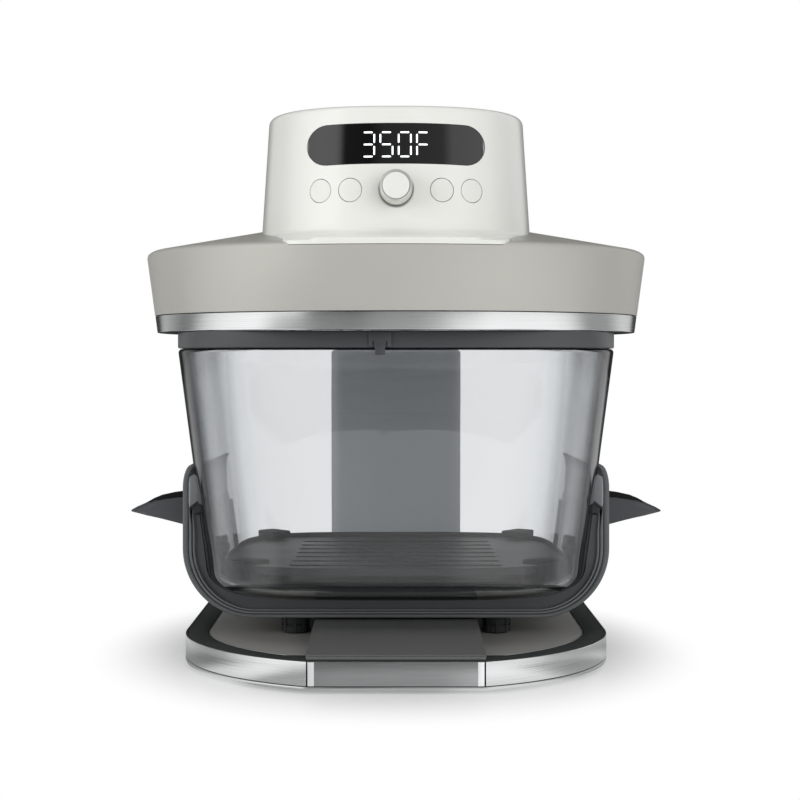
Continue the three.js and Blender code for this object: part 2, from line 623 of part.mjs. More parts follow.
function cheek(side) {
  const outline = new THREE.Shape();
  outline.moveTo(HINGE_Y + CHEEK_RADIUS, COLUMN_TOP - COLUMN_WALL);
  outline.absarc(HINGE_Y, HINGE_Z, CHEEK_RADIUS, 0, 2 * QUARTER, false);
  outline.lineTo(HINGE_Y - CHEEK_RADIUS, COLUMN_TOP + GAP);
  outline.lineTo(COLUMN_SPLIT + GAP, COLUMN_TOP + GAP);
  outline.lineTo(COLUMN_SPLIT + GAP, COLUMN_TOP - COLUMN_WALL);
  return alongX(outline, COLUMN_HALF - CHEEK_THICK, COLUMN_HALF).scale(side, 1, 1);
}

function columnRear() {
  const glandHole = rodAlongY(GLAND_BODY + GAP, COLUMN_SPLIT, COLUMN_BACK + OVERRUN, 0, GLAND_Z);
  return cut(join(columnHalf(COLUMN_SPLIT + GAP / 2, COLUMN_BACK + OVERRUN), cheek(-1), cheek(1)), glandHole);
}

function columnPost() {
  const channel = new THREE.Shape([[-POST_HALF, POST_BACK], [-POST_HALF, POST_FRONT], [POST_HALF, POST_FRONT],
    [POST_HALF, POST_BACK], [POST_HALF - POST_THICK, POST_BACK],
    [POST_HALF - POST_THICK, POST_FRONT + POST_THICK], [POST_THICK - POST_HALF, POST_FRONT + POST_THICK],
    [POST_THICK - POST_HALF, POST_BACK]]
    .map(([x, y]) => new THREE.Vector2(x, y)));
  const ear = new THREE.Shape();
  ear.moveTo(HINGE_Y - EAR_RADIUS, COLUMN_TOP - OVERRUN);
  ear.lineTo(HINGE_Y + EAR_RADIUS, COLUMN_TOP - OVERRUN);
  ear.absarc(HINGE_Y, HINGE_Z, EAR_RADIUS, 0, 2 * QUARTER, false);
  const sole = box([-POST_HALF, POST_HALF], [POST_FRONT, POST_BACK],
    [PAN_TOP + GAP, PAN_TOP + GAP + POST_THICK]);
  const ears = [[-POST_HALF, POST_THICK - POST_HALF], [POST_HALF - POST_THICK, POST_HALF]]
    .map(([x0, x1]) => alongX(ear, x0, x1));
  const bores = screwPlaces().map(([x, y]) =>
    rod(SCREW_SHANK + GAP, 0, PAN_TOP + DEEP_OVERRUN).translate(x, y, 0));
  return cut(join(upright(channel, PAN_TOP + GAP, COLUMN_TOP - COLUMN_WALL), sole, ...ears),
    rodAlongX(PIN_RADIUS + GAP, -POST_HALF - OVERRUN, POST_HALF + OVERRUN, HINGE_Y, HINGE_Z, SMALL), ...bores);
}

function screwPlaces() {
  return [[-SCREW_X / 2, HINGE_Y], [SCREW_X / 2, HINGE_Y]];
}

function screw() {
  return turned([[0, FOOT_STAND], [SCREW_HEAD, FOOT_STAND], [SCREW_HEAD, FOOT_STAND + SCREW_HEAD_HEIGHT],
    [SCREW_SHANK, FOOT_STAND + SCREW_HEAD_HEIGHT], [SCREW_SHANK, FOOT_STAND + SCREW_LENGTH],
    [0, FOOT_STAND + SCREW_LENGTH]], TINY);
}

const hingePin = () => join(
  rodAlongX(PIN_RADIUS, -PIN_REACH, PIN_REACH, HINGE_Y, HINGE_Z, SMALL),
  rodAlongX(PIN_HEAD_RADIUS, POST_HALF + GAP, PIN_REACH, HINGE_Y, HINGE_Z, SMALL));

const EAR_INNER = POST_HALF - POST_THICK;
const BARREL_HALF = EAR_INNER - GAP;

function hingeArm() {
  const barrel = rodAlongX(BARREL_RADIUS, -BARREL_HALF, BARREL_HALF, HINGE_Y, HINGE_Z, MEDIUM);
  const neck = box([-NECK_HALF, NECK_HALF], [NECK_FRONT, HINGE_Y], [HOUSING_TOP + GAP, NECK_TOP]);
  return cut(join(barrel, neck),
    rodAlongX(PIN_RADIUS + GAP, -BARREL_HALF - OVERRUN, BARREL_HALF + OVERRUN, HINGE_Y, HINGE_Z, SMALL));
}

function cordGland() {
  const seat = COLUMN_BACK + GAP;
  return cut(join(rodAlongY(GLAND_BODY, seat - GLAND_LENGTH, seat, 0, GLAND_Z),
    rodAlongY(GLAND_FLANGE, seat, seat + GLAND_FLANGE_THICK, 0, GLAND_Z)),
    rodAlongY(GLAND_BORE, seat - GLAND_LENGTH - OVERRUN, seat + OVERRUN, 0, GLAND_Z));
}

// Container

// The bowl's side from its floor up to a height, drawn in or out by an inset
function bowlSide(inset, top) {
  const radius = BOWL_CORNER - inset;
  const z = BOWL_BOTTOM + inset + radius;
  const x = bowlWall(z) - (radius + inset) / Math.cos(bowlLean);
  return [[0, BOWL_BOTTOM + inset], ...arcPoints(x, z, radius, -QUARTER, -bowlLean),
    [bowlWall(top) - inset / Math.cos(bowlLean), top]];
}

const bowlBody = (inset, top) => turned([...bowlSide(inset, top), [0, top]], LARGE, BOWL_SQUARE);

function glassBowl() {
  const shoulder = BOWL_TOP - GLASS / 2;
  const rim = arcPoints(bowlWall(shoulder) - GLASS / 2, shoulder, GLASS / 2, 0, 2 * QUARTER, 4).slice(1, -1);
  return turned([...bowlSide(0, shoulder), ...rim, ...bowlSide(GLASS, shoulder).reverse()], LARGE, BOWL_SQUARE);
}

function rimSeal() {
  const bottom = BOWL_TOP + GAP;
  const top = bottom + SEAL_HEIGHT;
  const lipZ = BOWL_TOP - SEAL_LIP;
  const clear = GLASS / Math.cos(bowlLean) + 2 * GAP;
  const ring = turned(loop([[BOWL_RIM, bottom], [BOWL_RIM, top], [SEAL_INNER, top], [SEAL_INNER, lipZ],
    [bowlWall(lipZ) - clear, lipZ], [BOWL_RIM - clear, bottom]]), LARGE, BOWL_SQUARE);
  const tab = box([TAB_X - TAB_HALF, TAB_X + TAB_HALF], [-BOWL_RIM - TAB_OUT, TAB_SINK - BOWL_RIM],
    [bottom, top]);
  const stem = box([TAB_X - TAB_STEM_HALF, TAB_X + TAB_STEM_HALF], [-BOWL_RIM - TAB_OUT, -BOWL_RIM - GAP],
    [bottom - TAB_STEM_DROP, bottom + GAP]);
  return join(ring, tab, stem);
}

// The cradle's U between two insets from its outer face, open upwards
function cradleU(outer, inner, topOuter, topInner) {
  const x = CRADLE_HALF - CRADLE_ROUND;
  const z = CRADLE_BOTTOM + CRADLE_ROUND;
  const side = (inset, top) => [...top, ...arcPoints(x, z, CRADLE_ROUND - inset, 0, -QUARTER, ARC * 2)];
  const right = side(outer, topOuter);
  const left = [...right].reverse().map(([px, pz]) => [-px, pz]);
  const rightIn = side(inner, topInner);
  const leftIn = [...rightIn].reverse().map(([px, pz]) => [-px, pz]);
  const path = [...right, ...left, ...leftIn.reverse(), ...rightIn.reverse()];
  return new THREE.Shape(path.map(([px, pz]) => new THREE.Vector2(px, pz)));
}

function cradle() {
  const tipX = CRADLE_HALF - CRADLE_TIP_IN;
  const bandTop = [[tipX, CRADLE_TOP], [CRADLE_HALF - CRADLE_EDGE_IN, CRADLE_TOP - CRADLE_TIP_DROP]];
  const bandTopInner = [[tipX - CRADLE_BAND / 2, CRADLE_TOP],
    [CRADLE_HALF - CRADLE_BAND, CRADLE_TOP - 2 * CRADLE_TIP_DROP]];
  const band = alongY(cradleU(0, CRADLE_BAND, bandTop, bandTopInner), -CRADLE_DEEP, CRADLE_DEEP);
  const ribShape = () => cradleU(CRADLE_BAND / 2, RIB_REACH, [[CRADLE_HALF - CRADLE_BAND / 2, RIB_TOP]],
    [[CRADLE_HALF - RIB_REACH, RIB_TOP]]);
  const ribs = [-RIB_DEEP, RIB_DEEP - RIB_WIDE].map((y) => alongY(ribShape(), y, y + RIB_WIDE));
  return cut(join(band, ...ribs), bowlBody(-GAP, BOWL_TOP));
}

function cradleFoot() {
  const bottom = BAND_TOP + GAP;
  const top = CRADLE_BOTTOM - GAP;
  const mid = (bottom + top) / 2;
  return turned([[0, bottom], [CRADLE_FOOT_RADIUS, bottom], [CRADLE_FOOT_RADIUS, mid - CRADLE_FOOT_GROOVE],
    [CRADLE_FOOT_WAIST, mid], [CRADLE_FOOT_RADIUS, mid + CRADLE_FOOT_GROOVE], [CRADLE_FOOT_RADIUS, top],
    [0, top]], SMALL);
}

function handleGrip(side) {
  const root0 = CRADLE_HALF + GAP;
  const blade = new THREE.Shape([[root0, GRIP_ROOT_BOTTOM], [GRIP_SHOULDER_X, GRIP_SHOULDER_BOTTOM],
    [GRIP_TIP_X, GRIP_TIP_Z], [GRIP_SHOULDER_X, GRIP_SHOULDER_TOP], [root0, GRIP_ROOT_TOP]]
    .map(([x, z]) => new THREE.Vector2(x, z)));
  const reach = GRIP_TIP_X - root0;
  const plan = turned([[0, GRIP_ROOT_BOTTOM], [GRIP_DEEP, GRIP_ROOT_BOTTOM], [GRIP_DEEP, GRIP_ROOT_TOP],
    [0, GRIP_ROOT_TOP]], MEDIUM, GRIP_ROUND).scale(reach / GRIP_DEEP, 1, 1).translate(root0, 0, 0);
  return common(alongY(blade, -GRIP_DEEP, GRIP_DEEP), plan).scale(side, 1, 1);
}

function crisperBody(grow) {
  const inner = CRISPER_HALF - CRISPER_RIM_THICK - grow;
  const top = CRISPER_Z + CRISPER_THICK + grow;
  return turned([[0, CRISPER_Z - grow], [CRISPER_HALF + grow, CRISPER_Z - grow],
    [CRISPER_HALF + grow, CRISPER_Z + CRISPER_RIM + grow], [inner, CRISPER_Z + CRISPER_RIM + grow],
    [inner, top], [0, top]], LARGE, BOWL_SQUARE);
}

function crisperPlate() {
  const slots = Array.from({ length: SLOT_COUNT }, (_, k) => {
    const y = (k - (SLOT_COUNT - 1) / 2) * SLOT_PITCH;
    return upright(roundedRect([-SLOT_HALF_LENGTH, SLOT_HALF_LENGTH],
      [y - SLOT_HALF_WIDTH, y + SLOT_HALF_WIDTH], SLOT_HALF_WIDTH - GAP), CRISPER_Z - OVERRUN,
    CRISPER_Z + CRISPER_THICK + OVERRUN, 1);
  });
  return cut(crisperBody(0), ...slots);
}

function crisperBumper(sideX, sideY) {
  const block = box([BUMPER_IN, BUMPER_OUT], [-BUMPER_HALF, BUMPER_HALF], [BOWL_BOTTOM, BUMPER_TOP])
    .rotateZ(QUARTER / 2);
  return cut(common(block, bowlBody(GLASS + GAP, BOWL_TOP)), crisperBody(GAP)).scale(sideX, sideY, 1);
}

// Head

const SHOULDER_TOP = SHROUD_EDGE + SHOULDER_RISE;
const SHOULDER_RADIUS = SHROUD_HIGH - SHOULDER_IN;
const domeHeight = (radius) => SHOULDER_TOP + (SHOULDER_RADIUS - radius) * DOME_SLOPE;

function headShroud() {
  const mid = [SHROUD_HIGH - SHOULDER_MID_IN, SHROUD_EDGE + SHOULDER_MID_RISE];
  const outer = [[SHROUD_LOW, SHROUD_BOTTOM], [SHROUD_HIGH, SHROUD_EDGE], mid,
    [SHOULDER_RADIUS, SHOULDER_TOP], [DOME_INNER, domeHeight(DOME_INNER)]];
  const inner = [[DOME_INNER, domeHeight(DOME_INNER) - SHELL],
    [SHOULDER_RADIUS - SHELL / 2, SHOULDER_TOP - SHELL], [SHROUD_HIGH - SHELL, SHROUD_EDGE],
    [SHROUD_LOW - SHELL, SHROUD_BOTTOM]];
  const shell = turned(loop([...outer, ...inner]), LARGE, HEAD_SQUARE);
  const neckSlot = box([-NECK_HALF - SEAM, NECK_HALF + SEAM], [HOUSING_INNER, SHROUD_HIGH + OVERRUN],
    [SHROUD_BOTTOM - OVERRUN, NECK_TOP + SEAM]);
  return cut(shell, capBody(-GAP, CAP_BOTTOM - GAP), neckSlot);
}

function trimRing() {
  return turned(loop([[RING_LOW - GAP, RING_BOTTOM], [RING_LOW, RING_BOTTOM + GAP], [RING_HIGH, RING_TOP],
    [RING_HIGH - RING_THICK, RING_TOP], [RING_LOW - RING_THICK, RING_BOTTOM]]), LARGE, HEAD_SQUARE);
}

function heaterHousing() {
  const outer = RING_LOW - RING_THICK - GAP;
  const bottom = RING_BOTTOM + GAP;
  const floor = bottom + SHELL;
  return turned(loop([[HOUSING_INNER, bottom], [outer, bottom], [outer, RING_TOP], [outer - SHELL, RING_TOP],
    [outer - SHELL, floor], [HOUSING_INNER + SHELL, floor], [HOUSING_INNER + SHELL, HOUSING_TOP],
    [HOUSING_INNER, HOUSING_TOP]]), LARGE, HEAD_SQUARE);
}

function chassisPlate() {
  const bottom = CHASSIS_TOP - CHASSIS_THICK;
  return turned(loop([[ROTOR_HOLE, bottom], [CHASSIS_RADIUS, bottom], [CHASSIS_RADIUS, CHASSIS_TOP],
    [ROTOR_HOLE, CHASSIS_TOP]]), LARGE, HEAD_SQUARE);
}

// The cap's outer body drawn in by an inset and cut off at a bottom, with its stretch and its flare
function capBody(inset, bottom) {
  const top = CAP_TOP - inset;
  const high = CAP_HIGH - inset;
  const low = CAP_LOW - inset;
  const flare = Array.from({ length: FLARE_STEPS }, (_, k) => {
    const share = (k + 1) / FLARE_STEPS;
    return [low + CAP_FLARE_SIDE * share ** 2, CAP_CREASE + (CAP_LIP - CAP_CREASE) * share];
  });
  const profile = [[0, top], ...arcPoints(high - CAP_EDGE, top - CAP_EDGE, CAP_EDGE, QUARTER, 0, 2),
    [low, CAP_CREASE], ...flare, [low + CAP_FLARE_SIDE, bottom], [0, bottom]];
  const body = turned(profile, LARGE, CAP_SQUARE);
  const at = body.attributes.position;
  for (let i = 0; i < at.count; i++) {
    const share = Math.min(1, Math.max(0, (CAP_CREASE - at.getZ(i)) / (CAP_CREASE - CAP_LIP)));
    const back = at.getY(i) > MERGE ? CAP_STRETCH : 0;
    const facing = Math.max(0, -at.getY(i) / Math.max(MERGE, Math.hypot(at.getX(i), at.getY(i))));
    at.setY(i, at.getY(i) + CAP_CENTRE + back - CAP_FLARE * share ** 2 * (1 - (1 - facing) ** 3));
  }
  return common(body, turned([[0, bottom - OVERRUN], [SHROUD_HIGH - GAP - inset, bottom - OVERRUN],
    [SHROUD_HIGH - GAP - inset, CAP_TOP + OVERRUN], [0, CAP_TOP + OVERRUN]], LARGE, HEAD_SQUARE));
}

const panelLean = Math.atan((CAP_LOW - CAP_HIGH) / (CAP_TOP - CAP_EDGE - CAP_CREASE));

// A frame on the front of the cap: origin on its surface, Z out along its normal, X to the right
function panelFrame(x, z) {
  const radius = CAP_LOW - (z - CAP_CREASE) * Math.tan(panelLean);
  const u = Math.abs(x) / radius;
  const v = (1 - u ** CAP_SQUARE) ** (1 / CAP_SQUARE);
  const steep = CAP_SQUARE - 1;
  const flat = new THREE.Vector3(Math.sign(x) * u ** steep, -(v ** steep), 0).normalize();
  const normal = flat.clone().multiplyScalar(Math.cos(panelLean)).setZ(Math.sin(panelLean));
  const right = new THREE.Vector3(-flat.y, flat.x, 0);
  const up = normal.clone().cross(right);
  return new THREE.Matrix4().makeBasis(right, up, normal).setPosition(x, CAP_CENTRE - radius * v, z);
}

const onPanel = (geometry, x, z) => geometry.applyMatrix4(panelFrame(x, z));

function displayPill(grow, back) {
  const halfHeight = DISPLAY_HEIGHT / 2 + grow;
  const outline = roundedRect([-DISPLAY_HALF - grow, DISPLAY_HALF + grow], [-halfHeight, halfHeight],
    halfHeight - GAP);
  return onPanel(upright(outline, -back, OVERRUN, 4), 0, DISPLAY_Z);
}

const ventBlock = (grow) => box([-VENT_HALF - grow, VENT_HALF + grow],
  [CAP_CENTRE + CAP_STRETCH, CAP_BACK + OVERRUN], [VENT_Z[0] - grow, VENT_Z[1] + grow]);

function controlHousing() {
  const shell = cut(capBody(0, CAP_BOTTOM), capBody(CAP_WALL, CAP_BOTTOM - OVERRUN));
  const bosses = [-BOSS_X, BOSS_X].flatMap((x) => [
    onPanel(rod(BOSS_RADIUS, GAP - CONTROL_BOARD_DEPTH, 0, TINY).translate(x, CONTROL_BOSS_Y, 0), 0, BUTTON_Z),
    onPanel(rod(BOSS_RADIUS, GAP - DISPLAY_BOARD_DEPTH, 0, TINY).translate(x, DISPLAY_BOSS_Y, 0), 0, DISPLAY_Z),
  ]).map((boss) => common(boss, capBody(CAP_WALL / 2, CAP_BOTTOM)));
  const holes = BUTTON_XS.map((x) => onPanel(rod(BUTTON_RADIUS + BUTTON_HOLE, -DEEP_OVERRUN, OVERRUN),
    x, BUTTON_Z));
  const shaftHole = onPanel(rod(SHAFT_HOLE, -DEEP_OVERRUN, OVERRUN), 0, BUTTON_Z);
  return cut(join(shell, ...bosses), ...holes, shaftHole, displayPill(GAP, CONTROL_BOARD_DEPTH),
    ventBlock(GAP));
}

const displayLens = () => cut(common(displayPill(0, CONTROL_BOARD_DEPTH), capBody(0, CAP_BOTTOM)),
  capBody(LENS_THICK, CAP_BOTTOM - OVERRUN));

function rearVent() {
  const slots = Array.from({ length: VENT_SLOTS }, (_, k) => {
    const z = VENT_Z[0] + (VENT_HEIGHT * (k + 1)) / (VENT_SLOTS + 1);
    return box([OVERRUN - VENT_HALF, VENT_HALF - OVERRUN], [CAP_CENTRE + CAP_STRETCH, SHROUD_HIGH],
      [z - VENT_SLOT_HEIGHT / 2, z + VENT_SLOT_HEIGHT / 2]);
  });
  return cut(common(ventBlock(0), capBody(0, CAP_BOTTOM)), capBody(LENS_THICK, CAP_BOTTOM - OVERRUN), ...slots);
}

function pushButton(x) {
  const cap = common(onPanel(rod(BUTTON_RADIUS, -BUTTON_STEM, OVERRUN), x, BUTTON_Z),
    capBody(0, CAP_BOTTOM));
  return join(cap, onPanel(rod(BUTTON_RADIUS + BUTTON_FLANGE, -BUTTON_FLANGE_DEPTH - BUTTON_FLANGE_THICK,
    -BUTTON_FLANGE_DEPTH), x, BUTTON_Z));
}

const knobRing = () => cut(onPanel(tube(KNOB_RING_RADIUS, KNOB_RING_BORE, -KNOB_RING_SINK, KNOB_RING_TOP),
  0, BUTTON_Z), capBody(-GAP, CAP_BOTTOM));

function turnKnob() {
  const bore = SHAFT_RADIUS + GAP;
  return onPanel(turned([[bore, KNOB_BACK], [KNOB_RADIUS, KNOB_BACK], [KNOB_RADIUS, KNOB_FRONT - 2 * KNOB_EDGE],
    [KNOB_FACE + KNOB_EDGE / 2, KNOB_FRONT - KNOB_EDGE / 2], [KNOB_FACE, KNOB_FRONT], [0, KNOB_FRONT],
    [0, KNOB_BORE_END], [bore, KNOB_BORE_END], [bore, KNOB_BACK]], MEDIUM), 0, BUTTON_Z);
}

const SHAFT_BACK = CONTROL_BOARD_DEPTH - BUTTON_TRAVEL - GAP;

const encoderShaft = () => onPanel(rod(SHAFT_RADIUS, -SHAFT_BACK, KNOB_BORE_END - GAP), 0, BUTTON_Z);

function encoder() {
  const body = box([-ENCODER_HALF, ENCODER_HALF], [-ENCODER_HALF, ENCODER_HALF],
    [GAP - CONTROL_BOARD_DEPTH, -ENCODER_FRONT]);
  return onPanel(cut(body, rod(SHAFT_RADIUS + GAP, -CONTROL_BOARD_DEPTH - OVERRUN, OVERRUN)), 0, BUTTON_Z);
}

function controlBoard() {
  const front = -CONTROL_BOARD_DEPTH;
  const wide = [-CONTROL_BOARD_HALF, CONTROL_BOARD_HALF];
  const high = [-CONTROL_BOARD_HIGH, CONTROL_BOARD_HIGH];
  const board = onPanel(box(wide, high, [front - BOARD_THICK, front]), 0, BUTTON_Z);
  const inFront = onPanel(box(wide, high, [front - BOARD_THICK / 2, 0]), 0, BUTTON_Z);
  const switches = BUTTON_XS.map((x) => common(inFront, onPanel(rod(SWITCH_RADIUS, -CONTROL_BOARD_DEPTH,
    -BUTTON_STEM - BUTTON_TRAVEL - GAP, TINY), x, BUTTON_Z)));
  return join(board, ...switches);
}

const displayBoard = () => onPanel(box([-DISPLAY_BOARD_HALF, DISPLAY_BOARD_HALF],
  [-DISPLAY_BOARD_HIGH, DISPLAY_BOARD_HIGH], [-DISPLAY_BOARD_DEPTH - BOARD_THICK, -DISPLAY_BOARD_DEPTH]),
0, DISPLAY_Z);

// Heat and air

function heatingElement() {
  const rise = REFLECTOR_TOP - SHEET - GAP;
  const bend = COIL_BEND / COIL_RADIUS;
  const around = (angle, z) =>
    new THREE.Vector3(COIL_RADIUS * Math.cos(angle), COIL_RADIUS * Math.sin(angle), z);
  const start = QUARTER + COIL_OPENING / 2;
  const turn = 4 * QUARTER - COIL_OPENING;
  const ring = Array.from({ length: COIL_POINTS + 1 }, (_, k) =>
    around(start + bend + ((turn - 2 * bend) * k) / COIL_POINTS, COIL_Z));
  const path = new THREE.CatmullRomCurve3([around(start, rise), around(start, (rise + COIL_Z) / 2), ...ring,
    around(start + turn, (rise + COIL_Z) / 2), around(start + turn, rise)]);
  const section = new THREE.Shape(Array.from({ length: COIL_SIDES }, (_, k) => {
    const angle = (4 * QUARTER * k) / COIL_SIDES;
    return new THREE.Vector2(COIL_TUBE * Math.cos(angle), COIL_TUBE * Math.sin(angle));
  }));
  return new THREE.ExtrudeGeometry(section, { steps: COIL_STEPS, extrudePath: path, bevelEnabled: false });
}

function reflector() {
  const bend = (inset) => arcPoints(REFLECTOR_RADIUS - REFLECTOR_BEND, REFLECTOR_TOP - REFLECTOR_BEND,
    REFLECTOR_BEND - inset, 0, QUARTER, 2);
  return turned(loop([[REFLECTOR_RADIUS, REFLECTOR_BOTTOM], ...bend(0), [ROTOR_HOLE, REFLECTOR_TOP],
    [ROTOR_HOLE, REFLECTOR_TOP - SHEET], ...bend(SHEET).reverse(),
    [REFLECTOR_RADIUS - SHEET, REFLECTOR_BOTTOM]]), REFLECTOR_FACETS);
}

function heaterGuard() {
  const disc = new THREE.Shape();
  const sector = (4 * QUARTER) / GUARD_SPOKES;
  for (let k = 0; k < GUARD_SPOKES; k++) {
    disc.absarc(0, 0, HOUSING_INNER - GAP, k * sector, (k + 1) * sector, false);
  }
  for (let ring = 1; ring < GUARD_RINGS.length; ring++) {
    const inner = GUARD_RINGS[ring - 1] + GUARD_BAR / 2;
    const outer = GUARD_RINGS[ring] - GUARD_BAR / 2;
    for (let k = 0; k < GUARD_SPOKES; k++) {
      const hole = new THREE.Path();
      const from = k * sector;
      hole.absarc(0, 0, outer, from + GUARD_BAR / outer, from + sector - GUARD_BAR / outer, false);
      hole.absarc(0, 0, inner, from + sector - GUARD_BAR / inner, from + GUARD_BAR / inner, true);
      disc.holes.push(hole);
    }
  }
  return upright(disc, GUARD_BOTTOM, GUARD_BOTTOM + GUARD_THICK);
}

const insulationPad = () => tube(INSULATION_RADIUS, ROTOR_HOLE, REFLECTOR_TOP + GAP,
  CHASSIS_TOP - CHASSIS_THICK - GAP);

function bladedWheel(radius, z, plate, blade, count, hub) {
  const disc = tube(radius, ROTOR_SHAFT + GAP, z, z + plate, MEDIUM);
  const boss = tube(hub, ROTOR_SHAFT + GAP, z, z + blade, SMALL);
  const blades = Array.from({ length: count }, (_, k) =>
    box([hub - plate, radius - plate], [-BLADE_THICK / 2, BLADE_THICK / 2], [z + plate / 2, z + blade])
      .rotateZ((4 * QUARTER * k) / count));
  return join(disc, boss, ...blades);
}

const convectionFan = () => bladedWheel(FAN_RADIUS, FAN_Z, FAN_PLATE, FAN_BLADE, FAN_BLADES, FAN_HUB);
const coolingFan = () => bladedWheel(COOLING_RADIUS, COOLING_Z, FAN_PLATE, COOLING_BLADE, FAN_BLADES, FAN_HUB);
const motorShaft = () => rod(ROTOR_SHAFT, ROTOR_SHAFT_BOTTOM, ROTOR_SHAFT_TOP);
const fanMotor = () => tube(MOTOR_RADIUS, ROTOR_SHAFT + GAP, CAP_BOTTOM, CAP_BOTTOM + MOTOR_HEIGHT);

function powerBoard() {
  const z = CAP_BOTTOM + POWER_BOARD_LIFT;
  const board = box([-POWER_BOARD_HALF, POWER_BOARD_HALF], POWER_BOARD_Y, [z, z + BOARD_THICK]);
  const [front, back] = POWER_BOARD_Y;
  const legs = [-1, 1].flatMap((side) => [front + POWER_LEG_IN, back - POWER_LEG_IN].map((y) =>
    rod(BOSS_RADIUS, CAP_BOTTOM, z + BOARD_THICK / 2, TINY)
      .translate(side * (POWER_BOARD_HALF - POWER_LEG_IN), y, 0)));
  const [wide, deep, high] = TRANSFORMER;
  const middle = (front + back) / 2;
  const transformer = box([-wide / 2, wide / 2], [middle - deep / 2, middle + deep / 2],
    [z + BOARD_THICK / 2, z + BOARD_THICK + high]);
  return join(board, ...legs, transformer);
}

const thermalCutout = () =>
  rod(CUTOUT_RADIUS, CAP_BOTTOM, CAP_BOTTOM + CUTOUT_HEIGHT).translate(CUTOUT_X, 0, 0);

// Assembly

place('base_pan', basePan(), darkPlastic);
place('base_cover', baseCover(), darkPlastic);
place('base_deck', baseDeck(), satinPlate);
place('centre_slab', centreSlab(), darkPlastic);
place('front_plate', frontPlate(), brushedSteel);
place('steel_band_left', steelBand(-1), brushedSteel);
place('steel_band_right', steelBand(1), brushedSteel);
for (const [end, y] of [['front', -RUBBER_FOOT_FRONT], ['rear', RUBBER_FOOT_BACK]]) {
  place(`rubber_foot_${end}_left`, rubberFoot().translate(-RUBBER_FOOT_X, y, 0), rubber);
  place(`rubber_foot_${end}_right`, rubberFoot().translate(RUBBER_FOOT_X, y, 0), rubber);
}
place('column_post', columnPost(), castMetal);
place('column_front_cover', columnFront(), darkPlastic);
place('column_rear_cover', columnRear(), darkPlastic);
place('cord_gland', cordGland(), rubber);
place('hinge_pin', hingePin(), brushedSteel);
screwPlaces().forEach(([x, y], k) =>
  place(['post_screw_left', 'post_screw_right'][k], screw().translate(x, y, 0), brushedSteel));

place('glass_bowl', glassBowl(), clearGlass);
place('rim_seal', rimSeal(), darkPlastic);
place('cradle', cradle(), darkPlastic);
place('handle_left', handleGrip(-1), darkPlastic);
place('handle_right', handleGrip(1), darkPlastic);
for (const [end, y] of [['front', -CRADLE_FOOT_Y], ['rear', CRADLE_FOOT_Y]]) {
  place(`cradle_foot_${end}_left`, cradleFoot().translate(-CRADLE_FOOT_X, y, 0), rubber);
  place(`cradle_foot_${end}_right`, cradleFoot().translate(CRADLE_FOOT_X, y, 0), rubber);
}
place('crisper_plate', crisperPlate(), castMetal);
for (const [end, sideY] of [['front', -1], ['rear', 1]]) {
  place(`crisper_bumper_${end}_left`, crisperBumper(-1, sideY), rubber);
  place(`crisper_bumper_${end}_right`, crisperBumper(1, sideY), rubber);
}

place('head_shroud', headShroud(), warmGrey);
place('trim_ring', trimRing(), brushedSteel);
place('heater_housing', heaterHousing(), darkPlastic);
place('chassis_plate', chassisPlate(), brushedSteel);
place('hinge_arm', hingeArm(), castMetal);
place('control_housing', controlHousing(), whitePlastic);
place('display_lens', displayLens(), blackGloss);
place('display_board', displayBoard(), boardGreen);
place('control_board', controlBoard(), boardGreen);
place('rotary_encoder', encoder(), castMetal);
place('encoder_shaft', encoderShaft(), castMetal);
place('knob_ring', knobRing(), darkPlastic);
place('control_knob', turnKnob(), brushedSteel);
BUTTON_XS.forEach((x, k) => place(`button_${k + 1}`, pushButton(x), whitePlastic));
place('rear_vent', rearVent(), darkPlastic);
place('power_board', powerBoard(), boardGreen);
place('thermal_cutout', thermalCutout(), castMetal);
place('reflector', reflector(), brushedSteel);
place('insulation_pad', insulationPad(), ceramicWool);
place('heating_element', heatingElement(), coilMetal);
place('heater_guard', heaterGuard(), brushedSteel);
place('fan_motor', fanMotor(), castMetal);
place('motor_shaft', motorShaft(), brushedSteel);
place('convection_fan', convectionFan(), castMetal);
place('cooling_fan', coolingFan(), darkPlastic);

// The part's origin is under the middle of its box
root.position.y = -new THREE.Box3().setFromObject(root, true).getCenter(new THREE.Vector3()).y;

export default root;
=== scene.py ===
import math

import bmesh
import bpy
from mathutils import Matrix, Vector


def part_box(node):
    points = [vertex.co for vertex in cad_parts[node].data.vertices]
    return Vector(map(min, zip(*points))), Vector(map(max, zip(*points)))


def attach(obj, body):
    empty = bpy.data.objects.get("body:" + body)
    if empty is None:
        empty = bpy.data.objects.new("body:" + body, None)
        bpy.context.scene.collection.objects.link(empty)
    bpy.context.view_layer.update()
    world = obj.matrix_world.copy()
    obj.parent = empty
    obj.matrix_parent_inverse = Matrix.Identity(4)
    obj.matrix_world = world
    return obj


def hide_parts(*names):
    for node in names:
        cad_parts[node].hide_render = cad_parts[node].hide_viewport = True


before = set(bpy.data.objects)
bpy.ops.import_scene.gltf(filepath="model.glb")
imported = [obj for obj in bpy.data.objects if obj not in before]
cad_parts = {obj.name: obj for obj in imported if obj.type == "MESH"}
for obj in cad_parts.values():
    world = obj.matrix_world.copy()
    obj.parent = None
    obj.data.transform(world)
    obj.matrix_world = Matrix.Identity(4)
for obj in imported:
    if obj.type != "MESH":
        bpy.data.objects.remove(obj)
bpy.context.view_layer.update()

# Lengths are in millimetres with the bowl's axis at X = 0, Y = 0, front towards -Y, as in the part's source.
# One matrix puts a finished piece into the frame, in metres.
bowl_low, bowl_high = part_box("glass_bowl")
INTO_FRAME = Matrix.Translation((0, (bowl_low.y + bowl_high.y) / 2, 0)) @ Matrix.Scale(0.001, 4)

